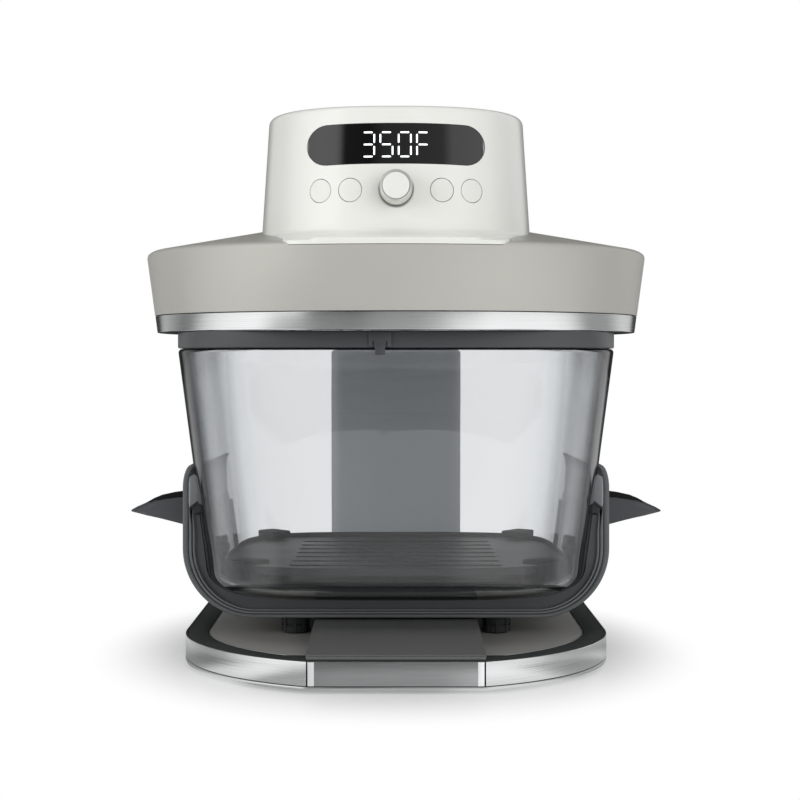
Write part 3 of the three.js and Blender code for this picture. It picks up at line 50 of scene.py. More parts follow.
GAP = 0.3
QUARTER = math.pi / 2
ROUND_STEPS = 192
SIDES = ((-1, "left"), (1, "right"))
ENDS = ((-1, "front"), (1, "rear"))


# Mesh helpers

def arc(x, z, radius, start, end, steps=6):
    return [(x + radius * math.cos(start + (end - start) * k / steps),
             z + radius * math.sin(start + (end - start) * k / steps)) for k in range(steps + 1)]


def rounded(points, radius, steps=3, closed=True):
    """Outline corners turned into small arcs. A point given as (x, z, r) has its own radius."""
    result = []
    count = len(points)
    for k, point in enumerate(points):
        size = point[2] if len(point) > 2 else radius
        here = Vector(point[:2])
        if size == 0 or (not closed and k in (0, count - 1)):
            result.append(tuple(here))
            continue
        before = Vector(points[k - 1][:2]) - here
        after = Vector(points[(k + 1) % count][:2]) - here
        reach = min(size, before.length * 0.49, after.length * 0.49)
        start = here + before.normalized() * reach
        end = here + after.normalized() * reach
        for step in range(steps + 1):
            t = step / steps
            result.append(tuple(start * (1 - t) ** 2 + here * 2 * t * (1 - t) + end * t ** 2))
    return result


def oblong(left, right, low, high, radius, steps=3):
    return rounded([(left, low), (right, low), (right, high), (left, high)], radius, steps)


def squared(bm, squareness):
    """Circles about the Z axis turned into superellipses of the same width and depth."""
    for vert in bm.verts:
        radius = math.hypot(vert.co.x, vert.co.y)
        if radius < 1e-9:
            continue
        c, s = abs(vert.co.x / radius), abs(vert.co.y / radius)
        reach = (c ** squareness + s ** squareness) ** (-1 / squareness)
        vert.co.x *= reach
        vert.co.y *= reach
    return bm


def spun(profile, steps=ROUND_STEPS, squareness=2.0, closed=False):
    """A profile of (radius, z) points turned once around the Z axis."""
    bm = bmesh.new()
    verts = [bm.verts.new((x, 0, z)) for x, z in profile]
    edges = [bm.edges.new(pair) for pair in zip(verts, verts[1:])]
    if closed:
        edges.append(bm.edges.new((verts[-1], verts[0])))
    bmesh.ops.spin(bm, geom=verts + edges, axis=(0, 0, 1), cent=(0, 0, 0), angle=2 * math.pi, steps=steps,
                   use_merge=True)
    bmesh.ops.remove_doubles(bm, verts=bm.verts, dist=1e-4)
    bmesh.ops.recalc_face_normals(bm, faces=bm.faces)
    return squared(bm, squareness) if squareness != 2.0 else bm


def prism(outline, low, high, axis="Z", cuts=0):
    """An outline carried along an axis. For axis Y the outline is (x, z), for axis X it is (y, z)."""
    bm = bmesh.new()
    place = {"Z": lambda a, b, t: (a, b, t), "Y": lambda a, b, t: (a, t, b),
             "X": lambda a, b, t: (t, a, b)}[axis]
    face = bm.faces.new([bm.verts.new(place(a, b, low)) for a, b in outline])
    for k in range(cuts + 1):
        step = Vector(place(0, 0, (high - low) / (cuts + 1)))
        grown = bmesh.ops.extrude_face_region(bm, geom=[face])["geom"]
        bmesh.ops.translate(bm, vec=step, verts=[v for v in grown if isinstance(v, bmesh.types.BMVert)])
        if k:
            bmesh.ops.delete(bm, geom=[face], context="FACES_ONLY")
        face = next(f for f in grown if isinstance(f, bmesh.types.BMFace))
    bmesh.ops.remove_doubles(bm, verts=bm.verts, dist=1e-4)
    bmesh.ops.recalc_face_normals(bm, faces=bm.faces)
    return bm


def block(size, centre):
    bm = bmesh.new()
    bmesh.ops.create_cube(bm, size=1, matrix=Matrix.Translation(centre) @ Matrix.Diagonal((*size, 1)))
    return bm


def rod(radius, low, high, steps=48):
    bm = bmesh.new()
    bmesh.ops.create_cone(bm, cap_ends=True, segments=steps, radius1=radius, radius2=radius, depth=high - low,
                          matrix=Matrix.Translation((0, 0, (low + high) / 2)))
    return bm


def moved(bm, matrix):
    bmesh.ops.transform(bm, matrix=matrix, verts=bm.verts)
    return bm


def shifted(bm, x, y, z):
    return moved(bm, Matrix.Translation((x, y, z)))


def flipped(bm, side_x, side_y=1):
    """A mesh mirrored to its own side, with its faces still outwards."""
    moved(bm, Matrix.Diagonal((side_x, side_y, 1, 1)))
    bmesh.ops.recalc_face_normals(bm, faces=bm.faces)
    return bm


def merged(first, *others):
    """Several meshes in one, each still a closed shell of its own."""
    for other in others:
        spare = bpy.data.meshes.new("spare")
        other.to_mesh(spare)
        other.free()
        first.from_mesh(spare)
        bpy.data.meshes.remove(spare)
    return first


def softened(bm, width, segments=3, angle=35):
    """Rounds every edge sharper than an angle."""
    sharp = [e for e in bm.edges if e.is_manifold and e.calc_face_angle(0) > math.radians(angle)]
    bmesh.ops.bevel(bm, geom=sharp, offset=width, offset_type="OFFSET", segments=segments, profile=0.5,
                    affect="EDGES", material=-1, clamp_overlap=True)
    return bm


def new_object(name, data):
    thing = bpy.data.objects.new(name, data)
    bpy.context.scene.collection.objects.link(thing)
    return thing


def as_object(name, bm):
    mesh = bpy.data.meshes.new(name)
    bm.to_mesh(mesh)
    bm.free()
    return new_object(name, mesh)


def combined(bm, tool, operation):
    """One solid cut by, or limited to, another."""
    thing, cutter = as_object("work", bm), as_object("cutter", tool)
    modifier = thing.modifiers.new("solid", "BOOLEAN")
    modifier.object, modifier.operation, modifier.solver = cutter, operation, "EXACT"
    graph = bpy.context.evaluated_depsgraph_get()
    result = bmesh.new()
    result.from_mesh(thing.evaluated_get(graph).to_mesh())
    for item in (thing, cutter):
        mesh = item.data
        bpy.data.objects.remove(item)
        bpy.data.meshes.remove(mesh)
    return result


def cut(bm, *tools):
    for tool in tools:
        bm = combined(bm, tool, "DIFFERENCE")
    return bm


def piece(name, bm, finish, body, replaced=(), smooth=35):
    """A finished mesh as an object that rides on a body."""
    moved(bm, INTO_FRAME)
    bmesh.ops.dissolve_degenerate(bm, edges=bm.edges, dist=1e-7)
    limit = math.radians(smooth)
    for face in bm.faces:
        face.smooth = True
    for edge in bm.edges:
        edge.smooth = not (edge.is_manifold and edge.calc_face_angle(0) > limit)
    thing = as_object(name, bm)
    thing.data.materials.append(finish)
    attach(thing, body)
    if replaced:
        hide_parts(*([replaced] if isinstance(replaced, str) else replaced))
    return thing


# Materials

def colour(code):
    """An sRGB hex value as linear colour."""
    values = [int(code[k:k + 2], 16) / 255 for k in (1, 3, 5)]
    return [v / 12.92 if v <= 0.04045 else ((v + 0.055) / 1.055) ** 2.4 for v in values] + [1]


def fill(tree, node, values=None, links=None):
    """Gives a node's inputs plain values, or links from an output, or from a whole node's first output."""
    for name, value in (values or {}).items():
        node.inputs[name].default_value = value
    for name, source in (links or {}).items():
        if isinstance(source, bpy.types.Node):
            source = next(output for output in source.outputs if output.enabled)
        tree.links.new(source, node.inputs[name])
    return node


def add(tree, kind, values=None, links=None, stops=None, **settings):
    node = tree.nodes.new("ShaderNode" + kind)
    for name, value in settings.items():
        setattr(node, name, value)
    if stops:
        ramp = node.color_ramp.elements
        while len(ramp) < len(stops):
            ramp.new(1)
        for element, (place, tone) in zip(ramp, stops):
            element.position, element.color = place, tone
    return fill(tree, node, values, links)


def new_material(name):
    material = bpy.data.materials.new(name)
    material.use_nodes = True
    tree = material.node_tree
    return material, tree, tree.nodes["Principled BSDF"]


# Millimetres: the width of clouds in plastic, of haze on the window and of waves in pressed glass, and depths
CLOUD_MM, HAZE_MM = 71.43, 25
WAVE_MM, WAVE_DEPTH_MM, SCRATCH_DEPTH_MM = 45.45, 0.4, 0.03


def moulded(name, tone, dark, roughness, grain_mm=0.6, depth_mm=0.02, metallic=0.0, sheen=0.0, coat=0.0,
            shine=0.5):
    """Moulded, cast or painted: two close tones in broad clouds, and a fine grain."""
    material, tree, shader = new_material(name)
    place = add(tree, "TexCoord").outputs["Object"]
    clouds = add(tree, "TexNoise", {"Scale": 1000 / CLOUD_MM, "Detail": 3.0}, {"Vector": place})
    tint = add(tree, "Mix", {"A": colour(dark), "B": colour(tone)}, {"Factor": clouds}, data_type="RGBA")
    grain = add(tree, "TexNoise", {"Scale": 1000 / grain_mm, "Detail": 2.0}, {"Vector": place})
    rough = add(tree, "MapRange", {"From Min": 0.3, "From Max": 0.7, "To Min": roughness * 0.9,
                                   "To Max": roughness * 1.12}, {"Value": clouds})
    bump = add(tree, "Bump", {"Strength": 0.5, "Distance": depth_mm / 1000}, {"Height": grain})
    fill(tree, shader, {"Metallic": metallic, "Sheen Weight": sheen, "Coat Weight": coat,
                        "Coat Roughness": 0.08, "Specular IOR Level": shine},
         {"Base Color": tint, "Roughness": rough, "Normal": bump})
    return material


def brushed(name, tone, dark, roughness, scratch_mm=(55.56, 55.56, 0.3846), round_grain=0.0):
    """Brushed steel: fine scratches, drawn coarser than real so that they show, with a size along X, Y and Z.

    Scratches that run round a body draw each reflection out into an upright streak.
    """
    material, tree, shader = new_material(name)
    if round_grain:
        round_body = add(tree, "Tangent", direction_type="RADIAL", axis="Z")
        fill(tree, shader, {"Anisotropic": round_grain, "Anisotropic Rotation": 0.25},
             {"Tangent": round_body})
    place = add(tree, "TexCoord").outputs["Object"]
    stretched = add(tree, "Mapping", {"Scale": [1000 / size for size in scratch_mm]}, {"Vector": place})
    streaks = add(tree, "TexNoise", {"Scale": 1.0, "Detail": 5.0, "Roughness": 0.6}, {"Vector": stretched})
    tint = add(tree, "ValToRGB", links={"Fac": streaks}, stops=[(0.32, colour(dark)), (0.62, colour(tone))])
    rough = add(tree, "MapRange", {"From Min": 0.3, "From Max": 0.7, "To Min": roughness * 0.8,
                                   "To Max": roughness * 1.25}, {"Value": streaks})
    bump = add(tree, "Bump", {"Strength": 0.35, "Distance": SCRATCH_DEPTH_MM / 1000}, {"Height": streaks})
    fill(tree, shader, {"Metallic": 1.0}, {"Base Color": tint, "Roughness": rough, "Normal": bump})
    return material


# Injection-moulded ABS with a high gloss, faintly warm, with the slight waviness of a moulded face
white_abs = moulded("gloss_white_abs", "#e7e8e3", "#e2e3dd", 0.24, grain_mm=4.0, depth_mm=0.04, coat=0.25)
button_abs = moulded("gloss_white_abs_button", "#e5e6e1", "#dfe0da", 0.3, grain_mm=2.0)
# Paint with a fine metal flake over ABS: a soft wide sheen
warm_grey_paint = moulded("satin_warm_grey_paint", "#b9b8b2", "#b3b2ac", 0.42, grain_mm=0.3, depth_mm=0.01,
                          metallic=0.22, shine=0.3)
# Glass-filled nylon with a spark-eroded grain: dull greys, with a soft shine on the rounded edges. On the
# cradle, the ridges' lighter copy and the arms' inner faces' far lighter one are painted light, and the
# recessed web's darker copy is painted shade
charcoal_nylon = moulded("moulded_charcoal_nylon", "#585b5c", "#505354", 0.4)
ridge_nylon_painted_light = moulded("cradle_ridge_painted_light", "#65686a", "#5b5e60", 0.34)
inner_face_painted_light = moulded("cradle_inner_face_painted_light", "#cdd0d3", "#c2c5c8", 0.3)
web_painted_shade = moulded("cradle_web_painted_shade", "#434547", "#3b3d3f", 0.5)
base_nylon = moulded("moulded_base_nylon", "#3d3f3f", "#373939", 0.55, shine=0.06)
slab_nylon = moulded("moulded_slab_nylon", "#666766", "#5f605f", 0.42)
black_nylon = moulded("moulded_black_nylon", "#232426", "#1b1c1e", 0.5)
handle_nylon = moulded("moulded_handle_nylon", "#4c4e51", "#45474a", 0.45, grain_mm=0.5, shine=0.3)
column_nylon = moulded("moulded_grey_nylon", "#a9afb3", "#9fa5a9", 0.5, grain_mm=0.7)
dark_housing = moulded("moulded_dark_housing", "#343638", "#2d2f31", 0.5, grain_mm=0.7)
# Near black and dull on the grips' tops: painted shade, darker than the grip's own nylon
grip_top_shade = moulded("grip_top_painted_shade", "#17181a", "#111214", 0.75, grain_mm=0.7, depth_mm=0.04,
                         shine=0.1)
# Fluoropolymer non-stick coating over aluminium sheet: half dull in black, and faintly metallic in grey
non_stick = moulded("non_stick_coating", "#28292b", "#202123", 0.5, grain_mm=0.8, depth_mm=0.03, shine=0.35)
satin_coating = moulded("satin_grey_coating", "#a9a8a4", "#a09f9b", 0.36, grain_mm=0.4, depth_mm=0.01,
                        metallic=0.25)
# Peroxide-cured silicone rubber, dull with a faint bloom, and plain black rubber
seal_silicone = moulded("grey_silicone_rubber", "#414446", "#3a3d3f", 0.45, grain_mm=1.2, sheen=0.1)
black_rubber = moulded("black_rubber", "#2a2b2d", "#212224", 0.7, grain_mm=0.9, depth_mm=0.05)
# Austenitic stainless steel: brushed round the body on ring and bands, and brushed finely on the plate and
# the pan's lip. Where the plate's edges are rolled, a near-white, half-metallic finish is partly painted
# highlight
ring_steel = brushed("brushed_steel_ring", "#d0d2d2", "#c3c5c5", 0.22, round_grain=0.85)
band_steel = brushed("brushed_steel_band", "#d0d2d2", "#c0c2c2", 0.19, round_grain=0.85)
plate_steel = brushed("brushed_steel_front", "#a9aaab", "#9c9e9e", 0.34, scratch_mm=(33.33, 33.33, 0.5556))
pan_steel = brushed("satin_steel_lip", "#d2d4d4", "#c4c6c6", 0.35)
rolled_edge_highlight = moulded("steel_edge_painted_highlight", "#ecedee", "#e2e3e4", 0.2, grain_mm=1.0, metallic=0.45)
# Rolled aluminised sheet and drawn steel: scratches one way only
sheet_steel = brushed("aluminised_sheet", "#b1b3b5", "#9da0a2", 0.32, scratch_mm=(16.67, 2.5, 16.67))
pin_steel = brushed("bright_pin_steel", "#b9bbbd", "#a1a3a5", 0.25, scratch_mm=(1.111, 16.67, 16.67))
# Aluminium, turned, bead-blasted and clear anodised: an even silky white-grey
knob_aluminium = moulded("blasted_knob_aluminium", "#dededa", "#d6d6d2", 0.34, grain_mm=0.4, metallic=0.85)
seat_aluminium = moulded("blasted_seat_aluminium", "#a5a6a3", "#9b9c99", 0.38, grain_mm=0.4, metallic=0.85)
# Aluminium as cast, with the sand's grain, and as pressed from sheet
cast_aluminium = moulded("cast_aluminium", "#94969a", "#808286", 0.5, grain_mm=1.0, depth_mm=0.06,
                         metallic=0.9)
fan_aluminium = moulded("pressed_aluminium", "#b6b8ba", "#a6a8aa", 0.36, grain_mm=0.8, metallic=0.95)
# Inner parts: a heater sheath browned by heat, lacquered motor steel, pressed ceramic wool and solder mask
sheath_steel = moulded("oxidised_sheath_steel", "#5d5955", "#48443f", 0.5, grain_mm=1.2, metallic=0.75)
motor_paint = moulded("motor_lacquer", "#8d8f92", "#7a7c80", 0.45, grain_mm=0.8, metallic=0.5)
wool_board = moulded("ceramic_fibre_board", "#ddd9cd", "#c6c1b3", 0.95, grain_mm=1.5, depth_mm=0.2)
solder_mask = moulded("green_solder_mask", "#2f6242", "#244e34", 0.4, grain_mm=1.6, depth_mm=0.03)


def glass_with_painted_shade(name, tones):
    """Borosilicate glass: clear and very smooth. Its colour, set by how far a face is turned, is painted
    shade: a faint grey square on, grey streak bands between, and dark where it is seen edge-on.
    """
    material, tree, shader = new_material(name)
    edge = add(tree, "LayerWeight", {"Blend": 0.5})
    tone = add(tree, "ValToRGB", links={"Fac": edge.outputs["Facing"]},
               stops=[(turned, colour(code)) for turned, code in tones])
    place = add(tree, "TexCoord").outputs["Object"]
    waves = add(tree, "TexNoise", {"Scale": 1000 / WAVE_MM, "Detail": 1.0}, {"Vector": place})
    bump = add(tree, "Bump", {"Strength": 0.25, "Distance": WAVE_DEPTH_MM / 1000}, {"Height": waves})
    fill(tree, shader, {"Roughness": 0.0, "IOR": 1.47, "Transmission Weight": 1.0},
         {"Base Color": tone, "Normal": bump})
    return material


# Both glasses' tones are painted shade: the grey bands and the dark edge-on end stand in for dark
# surroundings seen through and in the glass
clear_glass = glass_with_painted_shade("borosilicate_glass", [(0.0, "#eff0f1"), (0.16, "#e4e6e7"), (0.27, "#b4b7b9"),
                                                   (0.36, "#cdcfd1"), (0.46, "#a4a7a9"), (0.54, "#5b5e60"),
                                                   (0.62, "#141618"), (1.0, "#08090a")])
inner_glass = glass_with_painted_shade("borosilicate_glass_inside", [(0.0, "#f2f3f4"), (0.45, "#e6e8e9"),
                                                          (0.72, "#b9bcbe"), (0.9, "#85888a"),
                                                          (1.0, "#2d2f31")])

# Acrylic window printed black behind: deep black with a hard clear face
black_window, tree, shader = new_material("black_acrylic_window")
place = add(tree, "TexCoord").outputs["Object"]
haze = add(tree, "TexNoise", {"Scale": 1000 / HAZE_MM, "Detail": 4.0}, {"Vector": place})
rough = add(tree, "MapRange", {"To Min": 0.05, "To Max": 0.12}, {"Value": haze})
fill(tree, shader, {"Base Color": colour("#050506"), "IOR": 1.49, "Specular IOR Level": 0.8},
     {"Roughness": rough})

# Light-emitting segments behind the window: an even cool white
led_light, tree, shader = new_material("white_led_segment")
fill(tree, shader, {"Base Color": colour("#f4f6f8"), "Emission Color": colour("#f4f7fa"),
                    "Emission Strength": 1.0})


# Camera at the photo's viewpoint: straight in front, a little below the bowl's rim

EYE_DISTANCE, EYE_HEIGHT = 1081, 179
camera_data = bpy.data.cameras.new("camera")
camera = new_object("camera", camera_data)
camera_data.sensor_width = 36
camera_data.lens = 78.75
camera_data.shift_x = 0.005
camera_data.shift_y = -0.05
camera_data.clip_end = 100
camera.location = INTO_FRAME @ Vector((0, -EYE_DISTANCE, EYE_HEIGHT))
camera.rotation_euler = (QUARTER, 0, 0)
bpy.context.scene.camera = camera


# Glass bowl with its rim seal

BOWL_SQUARE = 3.6
BOWL_RIM, BOWL_TOP, BOWL_BOTTOM = 129.5, 185.5, 44.0
BOWL_SLOPE, BOWL_CORNER, GLASS = 0.128, 15.0, 4.5
LEAN = math.atan(BOWL_SLOPE)


def bowl_wall(z):
    return BOWL_RIM - (BOWL_TOP - z) * BOWL_SLOPE


def bowl_side(inset, top):
    """The wall's line from the axis, round the bottom corner and up to a height, moved in by an inset."""
    radius = BOWL_CORNER - inset
    z = BOWL_BOTTOM + inset + radius
    x = bowl_wall(z) - (radius + inset) / math.cos(LEAN)
    side = arc(x, z, radius, -QUARTER, -LEAN, 10)
    last = (bowl_wall(top) - inset / math.cos(LEAN), top)
    rise = [(side[-1][0] + (last[0] - side[-1][0]) * k / 4, side[-1][1] + (last[1] - side[-1][1]) * k / 4)
            for k in range(1, 5)]
    return [(0, BOWL_BOTTOM + inset), (x * 0.5, BOWL_BOTTOM + inset)] + side + rise


shoulder = BOWL_TOP - GLASS / 2
bowl_rim = arc(bowl_wall(shoulder) - GLASS / 2, shoulder, GLASS / 2, 0, 2 * QUARTER, 10)[1:-1]
bowl = spun(bowl_side(0, shoulder) + bowl_rim + bowl_side(GLASS, shoulder)[::-1], squareness=BOWL_SQUARE)
for face in bowl.faces:
    spot = face.calc_center_median()
    outward = face.normal.x * spot.x + face.normal.y * spot.y > 0
    face.material_index = 0 if outward or spot.z < BOWL_BOTTOM + GLASS / 2 else 1
glass_wall = piece("bowl_clear_wall", bowl, clear_glass, "container", "glass_bowl", smooth=60)
# Lamps light what stands in and behind the bowl, as they do through real clear glass
glass_wall.visible_shadow = False
glass_wall.data.materials.append(inner_glass)

SEAL_LOW, SEAL_HIGH, SEAL_INSIDE = BOWL_TOP + GAP, BOWL_TOP + GAP + 9.2, 121.5
clear = GLASS / math.cos(LEAN) + 2 * GAP
lip_z = BOWL_TOP - 1.2
seal_section = [(BOWL_RIM, SEAL_LOW), (BOWL_RIM, SEAL_HIGH), (SEAL_INSIDE, SEAL_HIGH), (SEAL_INSIDE, lip_z),
                (bowl_wall(lip_z) - clear, lip_z), (BOWL_RIM - clear, SEAL_LOW)]
seal = spun(rounded(seal_section, 0.8), squareness=BOWL_SQUARE, closed=True)
TAB_X, TAB_HALF, STEM_HALF = -8.7, 6.2, 2.8
tab = softened(block((2 * TAB_HALF, 3.4, 8.8), (TAB_X, -BOWL_RIM - 0.1, SEAL_LOW + 4.6)), 0.7)
stem = softened(block((2 * STEM_HALF, 1.6, 6.4), (TAB_X, -BOWL_RIM - 1.1, SEAL_LOW - 0.9)), 0.5)
piece("rim_seal_ring", merged(seal, tab, stem), seal_silicone, "container", "rim_seal")
# Black patches on the tab's face stand in for its two slots: painted shade
notches = []
for side, _ in SIDES:
    notch = block((1.1, 0.5, 3.0), (TAB_X + side * (STEM_HALF + 0.8), -BOWL_RIM - 1.7, SEAL_LOW + 1.9))
    notches.append(softened(notch, 0.2))
piece("seal_tab_slot_painted_shade", merged(*notches), black_nylon, "container")


# Cradle: an outer lip with two finer ridges inside it, and a web that fits the bowl

CRADLE_HALF, CRADLE_LOW, CRADLE_ROUND, CRADLE_DEEP = 124.7, 28.3, 40.7, 59.0
TIP_IN, TIP_TOP, RIDGE_GATHER_SHARE = 5.0, 117.7, 0.3


def cradle_stations(top, taper=0.0, tip=False):
    """Points, inward directions, fullness and gather along the U, from the right arm's top to the left one's.

    Fullness is below 1 where a ridge fades out, and gather where the section draws in under the bowl.
    """
    bend = CRADLE_LOW + CRADLE_ROUND
    heights = [top + (bend - top) * k / 8 for k in range(8)]
    right = [(Vector((CRADLE_HALF, z)), Vector((-1, 0)),
              min(1.0, 0.04 + (top - z) / taper) if taper else 1.0, 1.0) for z in heights]
    if tip:
        turns = [k * QUARTER / 8 for k in range(8)]
        right = [(Vector((CRADLE_HALF - TIP_IN * (1 - math.sin(a)), top + (TIP_TOP - top) * math.cos(a))),
                  Vector((-1, 0)), 1.0, 1.0) for a in turns] + right
    centre = Vector((CRADLE_HALF - CRADLE_ROUND, bend))
    for k in range(25):
        angle = -k * QUARTER / 24
        out = Vector((math.cos(angle), math.sin(angle)))
        right.append((centre + out * CRADLE_ROUND, -out, 1.0, 1 - RIDGE_GATHER_SHARE * (k / 24) ** 1.5))
    left = [(Vector((-p.x, p.y)), Vector((-n.x, n.y)), *rest) for p, n, *rest in reversed(right)]
    return right + left


def swept(section, stations):
    """A closed section of (inward, y) points carried along stations, and thinner where they are less full."""
    bm = bmesh.new()
    nearest = min(n for n, _ in section)
    rings = []
    for point, inward, full, gather in stations:
        verts = []
        for n, y in section:
            depth = (nearest + (n - nearest) * full) * gather
            verts.append(bm.verts.new((point.x + inward.x * depth, y, point.y + inward.y * depth)))
        rings.append([bm.edges.new(pair) for pair in zip(verts, verts[1:] + verts[:1])])
    for near, far in zip(rings, rings[1:]):
        bmesh.ops.bridge_loops(bm, edges=near + far)
    for ring in (rings[0], rings[-1]):
        bmesh.ops.holes_fill(bm, edges=ring, sides=0)
    bmesh.ops.recalc_face_normals(bm, faces=bm.faces)
    return bm


def band(outer, inner, deep, radius):
    return oblong(outer, inner, -deep, deep, radius)


def bowl_solid(grow=0.4, top=BOWL_TOP + 20):
    """The bowl without its hollow, a little larger or smaller, as a tool for what fits it."""
    return spun(bowl_side(-grow, top) + [(0, top)], squareness=BOWL_SQUARE)


lip = swept(band(0, 3.3, CRADLE_DEEP, 1.3), cradle_stations(104.0, tip=True))
piece("cradle_outer_lip", lip, charcoal_nylon, "container", "cradle")
# The ridges take a lighter copy of the cradle's nylon: painted light on their faces
ridges = merged(swept(band(3.4, 5.2, CRADLE_DEEP - 0.9, 0.7), cradle_stations(95.0, 14.0)),
                swept(band(5.5, 7.0, CRADLE_DEEP - 2.0, 0.6), cradle_stations(92.0, 14.0)))
piece("cradle_inner_ridges", cut(ridges, bowl_solid()), ridge_nylon_painted_light, "container")
# The web is a darker copy of the cradle's nylon: painted shade in its recess
web = swept(band(2.6, 17.0, 54.5, 0.6), cradle_stations(88.0))
# A thin skin on each arm's inner face, in a far lighter grey than the cradle: painted light, as if lit
# through the glass
light_skins = [softened(block((0.7, 113, 20), (side * (CRADLE_HALF - 3.6), 0, 103)), 0.3) for side, _ in SIDES]
piece("cradle_arm_painted_light_skins", cut(merged(*light_skins), bowl_solid()), inner_face_painted_light, "container")
floor_gap = block((2 * CRADLE_HALF, 76, 60), (0, 0, 60))
piece("cradle_web", cut(web, floor_gap, bowl_solid()), web_painted_shade, "container")

FOOT_X, FOOT_Y, FOOT_LOW, FOOT_HIGH, FOOT_RADIUS = 59.6, 41.5, 17.8, 28.0, 7.85
for side_y, end in ENDS:
    for side, name in SIDES:
        foot = spun([(0, FOOT_LOW), (7.0, FOOT_LOW), (FOOT_RADIUS, 18.6), (FOOT_RADIUS, 21.9), (7.2, 22.4),
                     (7.2, 22.9), (FOOT_RADIUS, 23.4), (FOOT_RADIUS, FOOT_HIGH), (0, FOOT_HIGH)], steps=48)
        ribs = [moved(block((1.6, 1.2, 9.4), (0, -7.7, 22.9)), Matrix.Rotation(k * QUARTER / 2, 4, "Z"))
                for k in range(8)]
        post = shifted(merged(foot, *ribs), side * FOOT_X, side_y * FOOT_Y, 0)
        piece(f"cradle_foot_post_{end}_{name}", post, black_rubber, "container",
              f"cradle_foot_{end}_{name}")


# Side grips: a wing that narrows to its tip, with a near-black layer on top that is painted shade

WING_SQUARE = 4.5
WING_TOP = [(0.3, 96.7), (8.0, 96.4), (16.0, 95.5), (22.3, 94.2), (28.0, 91.8), (32.5, 89.5), (35.4, 88.2),
            (36.6, 87.7)]
WING_LOW = [(0.3, 78.6), (1.4, 79.7), (4.0, 80.5), (8.0, 81.2), (16.0, 82.9), (22.3, 84.2), (28.0, 85.3),
            (32.5, 86.4), (35.4, 87.1), (36.6, 87.4)]


def wing(top_line, bottom_line, inset, deep):
    """Top and bottom lines of (reach, z) points, carried front to back and drawn in towards both ends."""
    outline = top_line + bottom_line[::-1]
    bm = prism([(CRADLE_HALF + x, z) for x, z in outline], -deep, deep, "Y", cuts=31)
    for vert in bm.verts:
        share = (1 - min(1.0, abs(vert.co.y) / deep) ** WING_SQUARE) ** (1 / WING_SQUARE)
        vert.co.x = CRADLE_HALF + inset + (vert.co.x - CRADLE_HALF - inset) * max(share, 0.02)
    bmesh.ops.remove_doubles(bm, verts=bm.verts, dist=1e-3)
    return bm


for side, name in SIDES:
    grip = wing(WING_TOP, WING_LOW, 0.3, 33.0)
    # The thin near-black layer over the grip's top is painted shade
    pad = wing([(x, z + 0.3) for x, z in [(1.2, 96.7)] + WING_TOP[1:4] + [(26.0, 92.7)]],
               [(1.2, 94.8), (8.0, 94.4), (16.0, 93.4), (22.3, 92.2), (26.0, 91.4)], 1.2, 30.5)
    piece(f"grip_wing_{name}", flipped(grip, side), handle_nylon, "container", f"handle_{name}",
          smooth=25)
    piece(f"grip_painted_shade_{name}", flipped(pad, side), grip_top_shade, "container",
          smooth=25)


# Crisper plate with its bumpers

crisper_profile = [(0, 58.5), (104, 58.5), (104, 63.0), (102.4, 63.0), (102.4, 60.3), (0, 60.3)]
crisper = spun(rounded(crisper_profile, 0.5, closed=False), squareness=BOWL_SQUARE)
slots = []
for k in range(7):
    slots.append(shifted(prism(oblong(-62, 62, -3.5, 3.5, 3.4, 4), 50, 70), 0, (k - 3) * 22, 0))
piece("crisper_pan", cut(crisper, merged(*slots)), non_stick, "crisper", "crisper_plate")
for side_y, end in ENDS:
    for side_x, name in SIDES:
        bumper = softened(block((24, 17, 17), (121, 0, 57.3)), 1.5)
        bumper = flipped(moved(bumper, Matrix.Rotation(QUARTER / 2, 4, "Z")), side_x, side_y)
        plate = spun([(0, 58.2), (104.3, 58.2), (104.3, 63.3), (0, 63.3)], squareness=BOWL_SQUARE)
        shaped = cut(combined(bumper, bowl_solid(-GLASS - GAP, BOWL_TOP), "INTERSECT"), plate)
        piece(f"crisper_pad_{end}_{name}", shaped, black_rubber, "crisper", f"crisper_bumper_{end}_{name}")


# Head: painted shroud, steel ring and the housing under it

HEAD_SQUARE = 2.2
DOME_SLOPE = 0.191
SHOULDER = (147.9, 243.4)


def dome(radius):
    return SHOULDER[1] + (SHOULDER[0] - radius) * DOME_SLOPE


CAP_SQUARE, CAP_CENTRE, CAP_STRETCH = 2.4, -61.3, 110.0
CAP_LOW, CAP_HIGH, CAP_CREASE, CAP_TOP, CAP_EDGE = 77.4, 73.4, 250.3, 317.0, 3.6
CAP_BOTTOM, CAP_LIP, CAP_FLARE, RIM_HIGH = 241.0, 243.2, 22.0, 151.3
CAP_OPEN = CAP_BOTTOM - 4


def cap_profile(inset, bottom):
    """From the axis over the top and its edge, down the leaning side and out along the flare."""
    top = CAP_TOP - inset
    high, low = CAP_HIGH - inset, CAP_LOW - inset
    side = [(high + (low - high) * k / 12, top - CAP_EDGE + (CAP_CREASE - top + CAP_EDGE) * k / 12)
            for k in range(1, 13)]
    flare = [(low + (k / 6) ** 2, CAP_CREASE + (CAP_LIP - CAP_CREASE) * k / 6) for k in range(1, 7)]
    return ([(0, top), (high * 0.5, top)] + arc(high - CAP_EDGE, top - CAP_EDGE, CAP_EDGE, QUARTER, 0, 6)
            + side + flare + [(low + 1, bottom)])


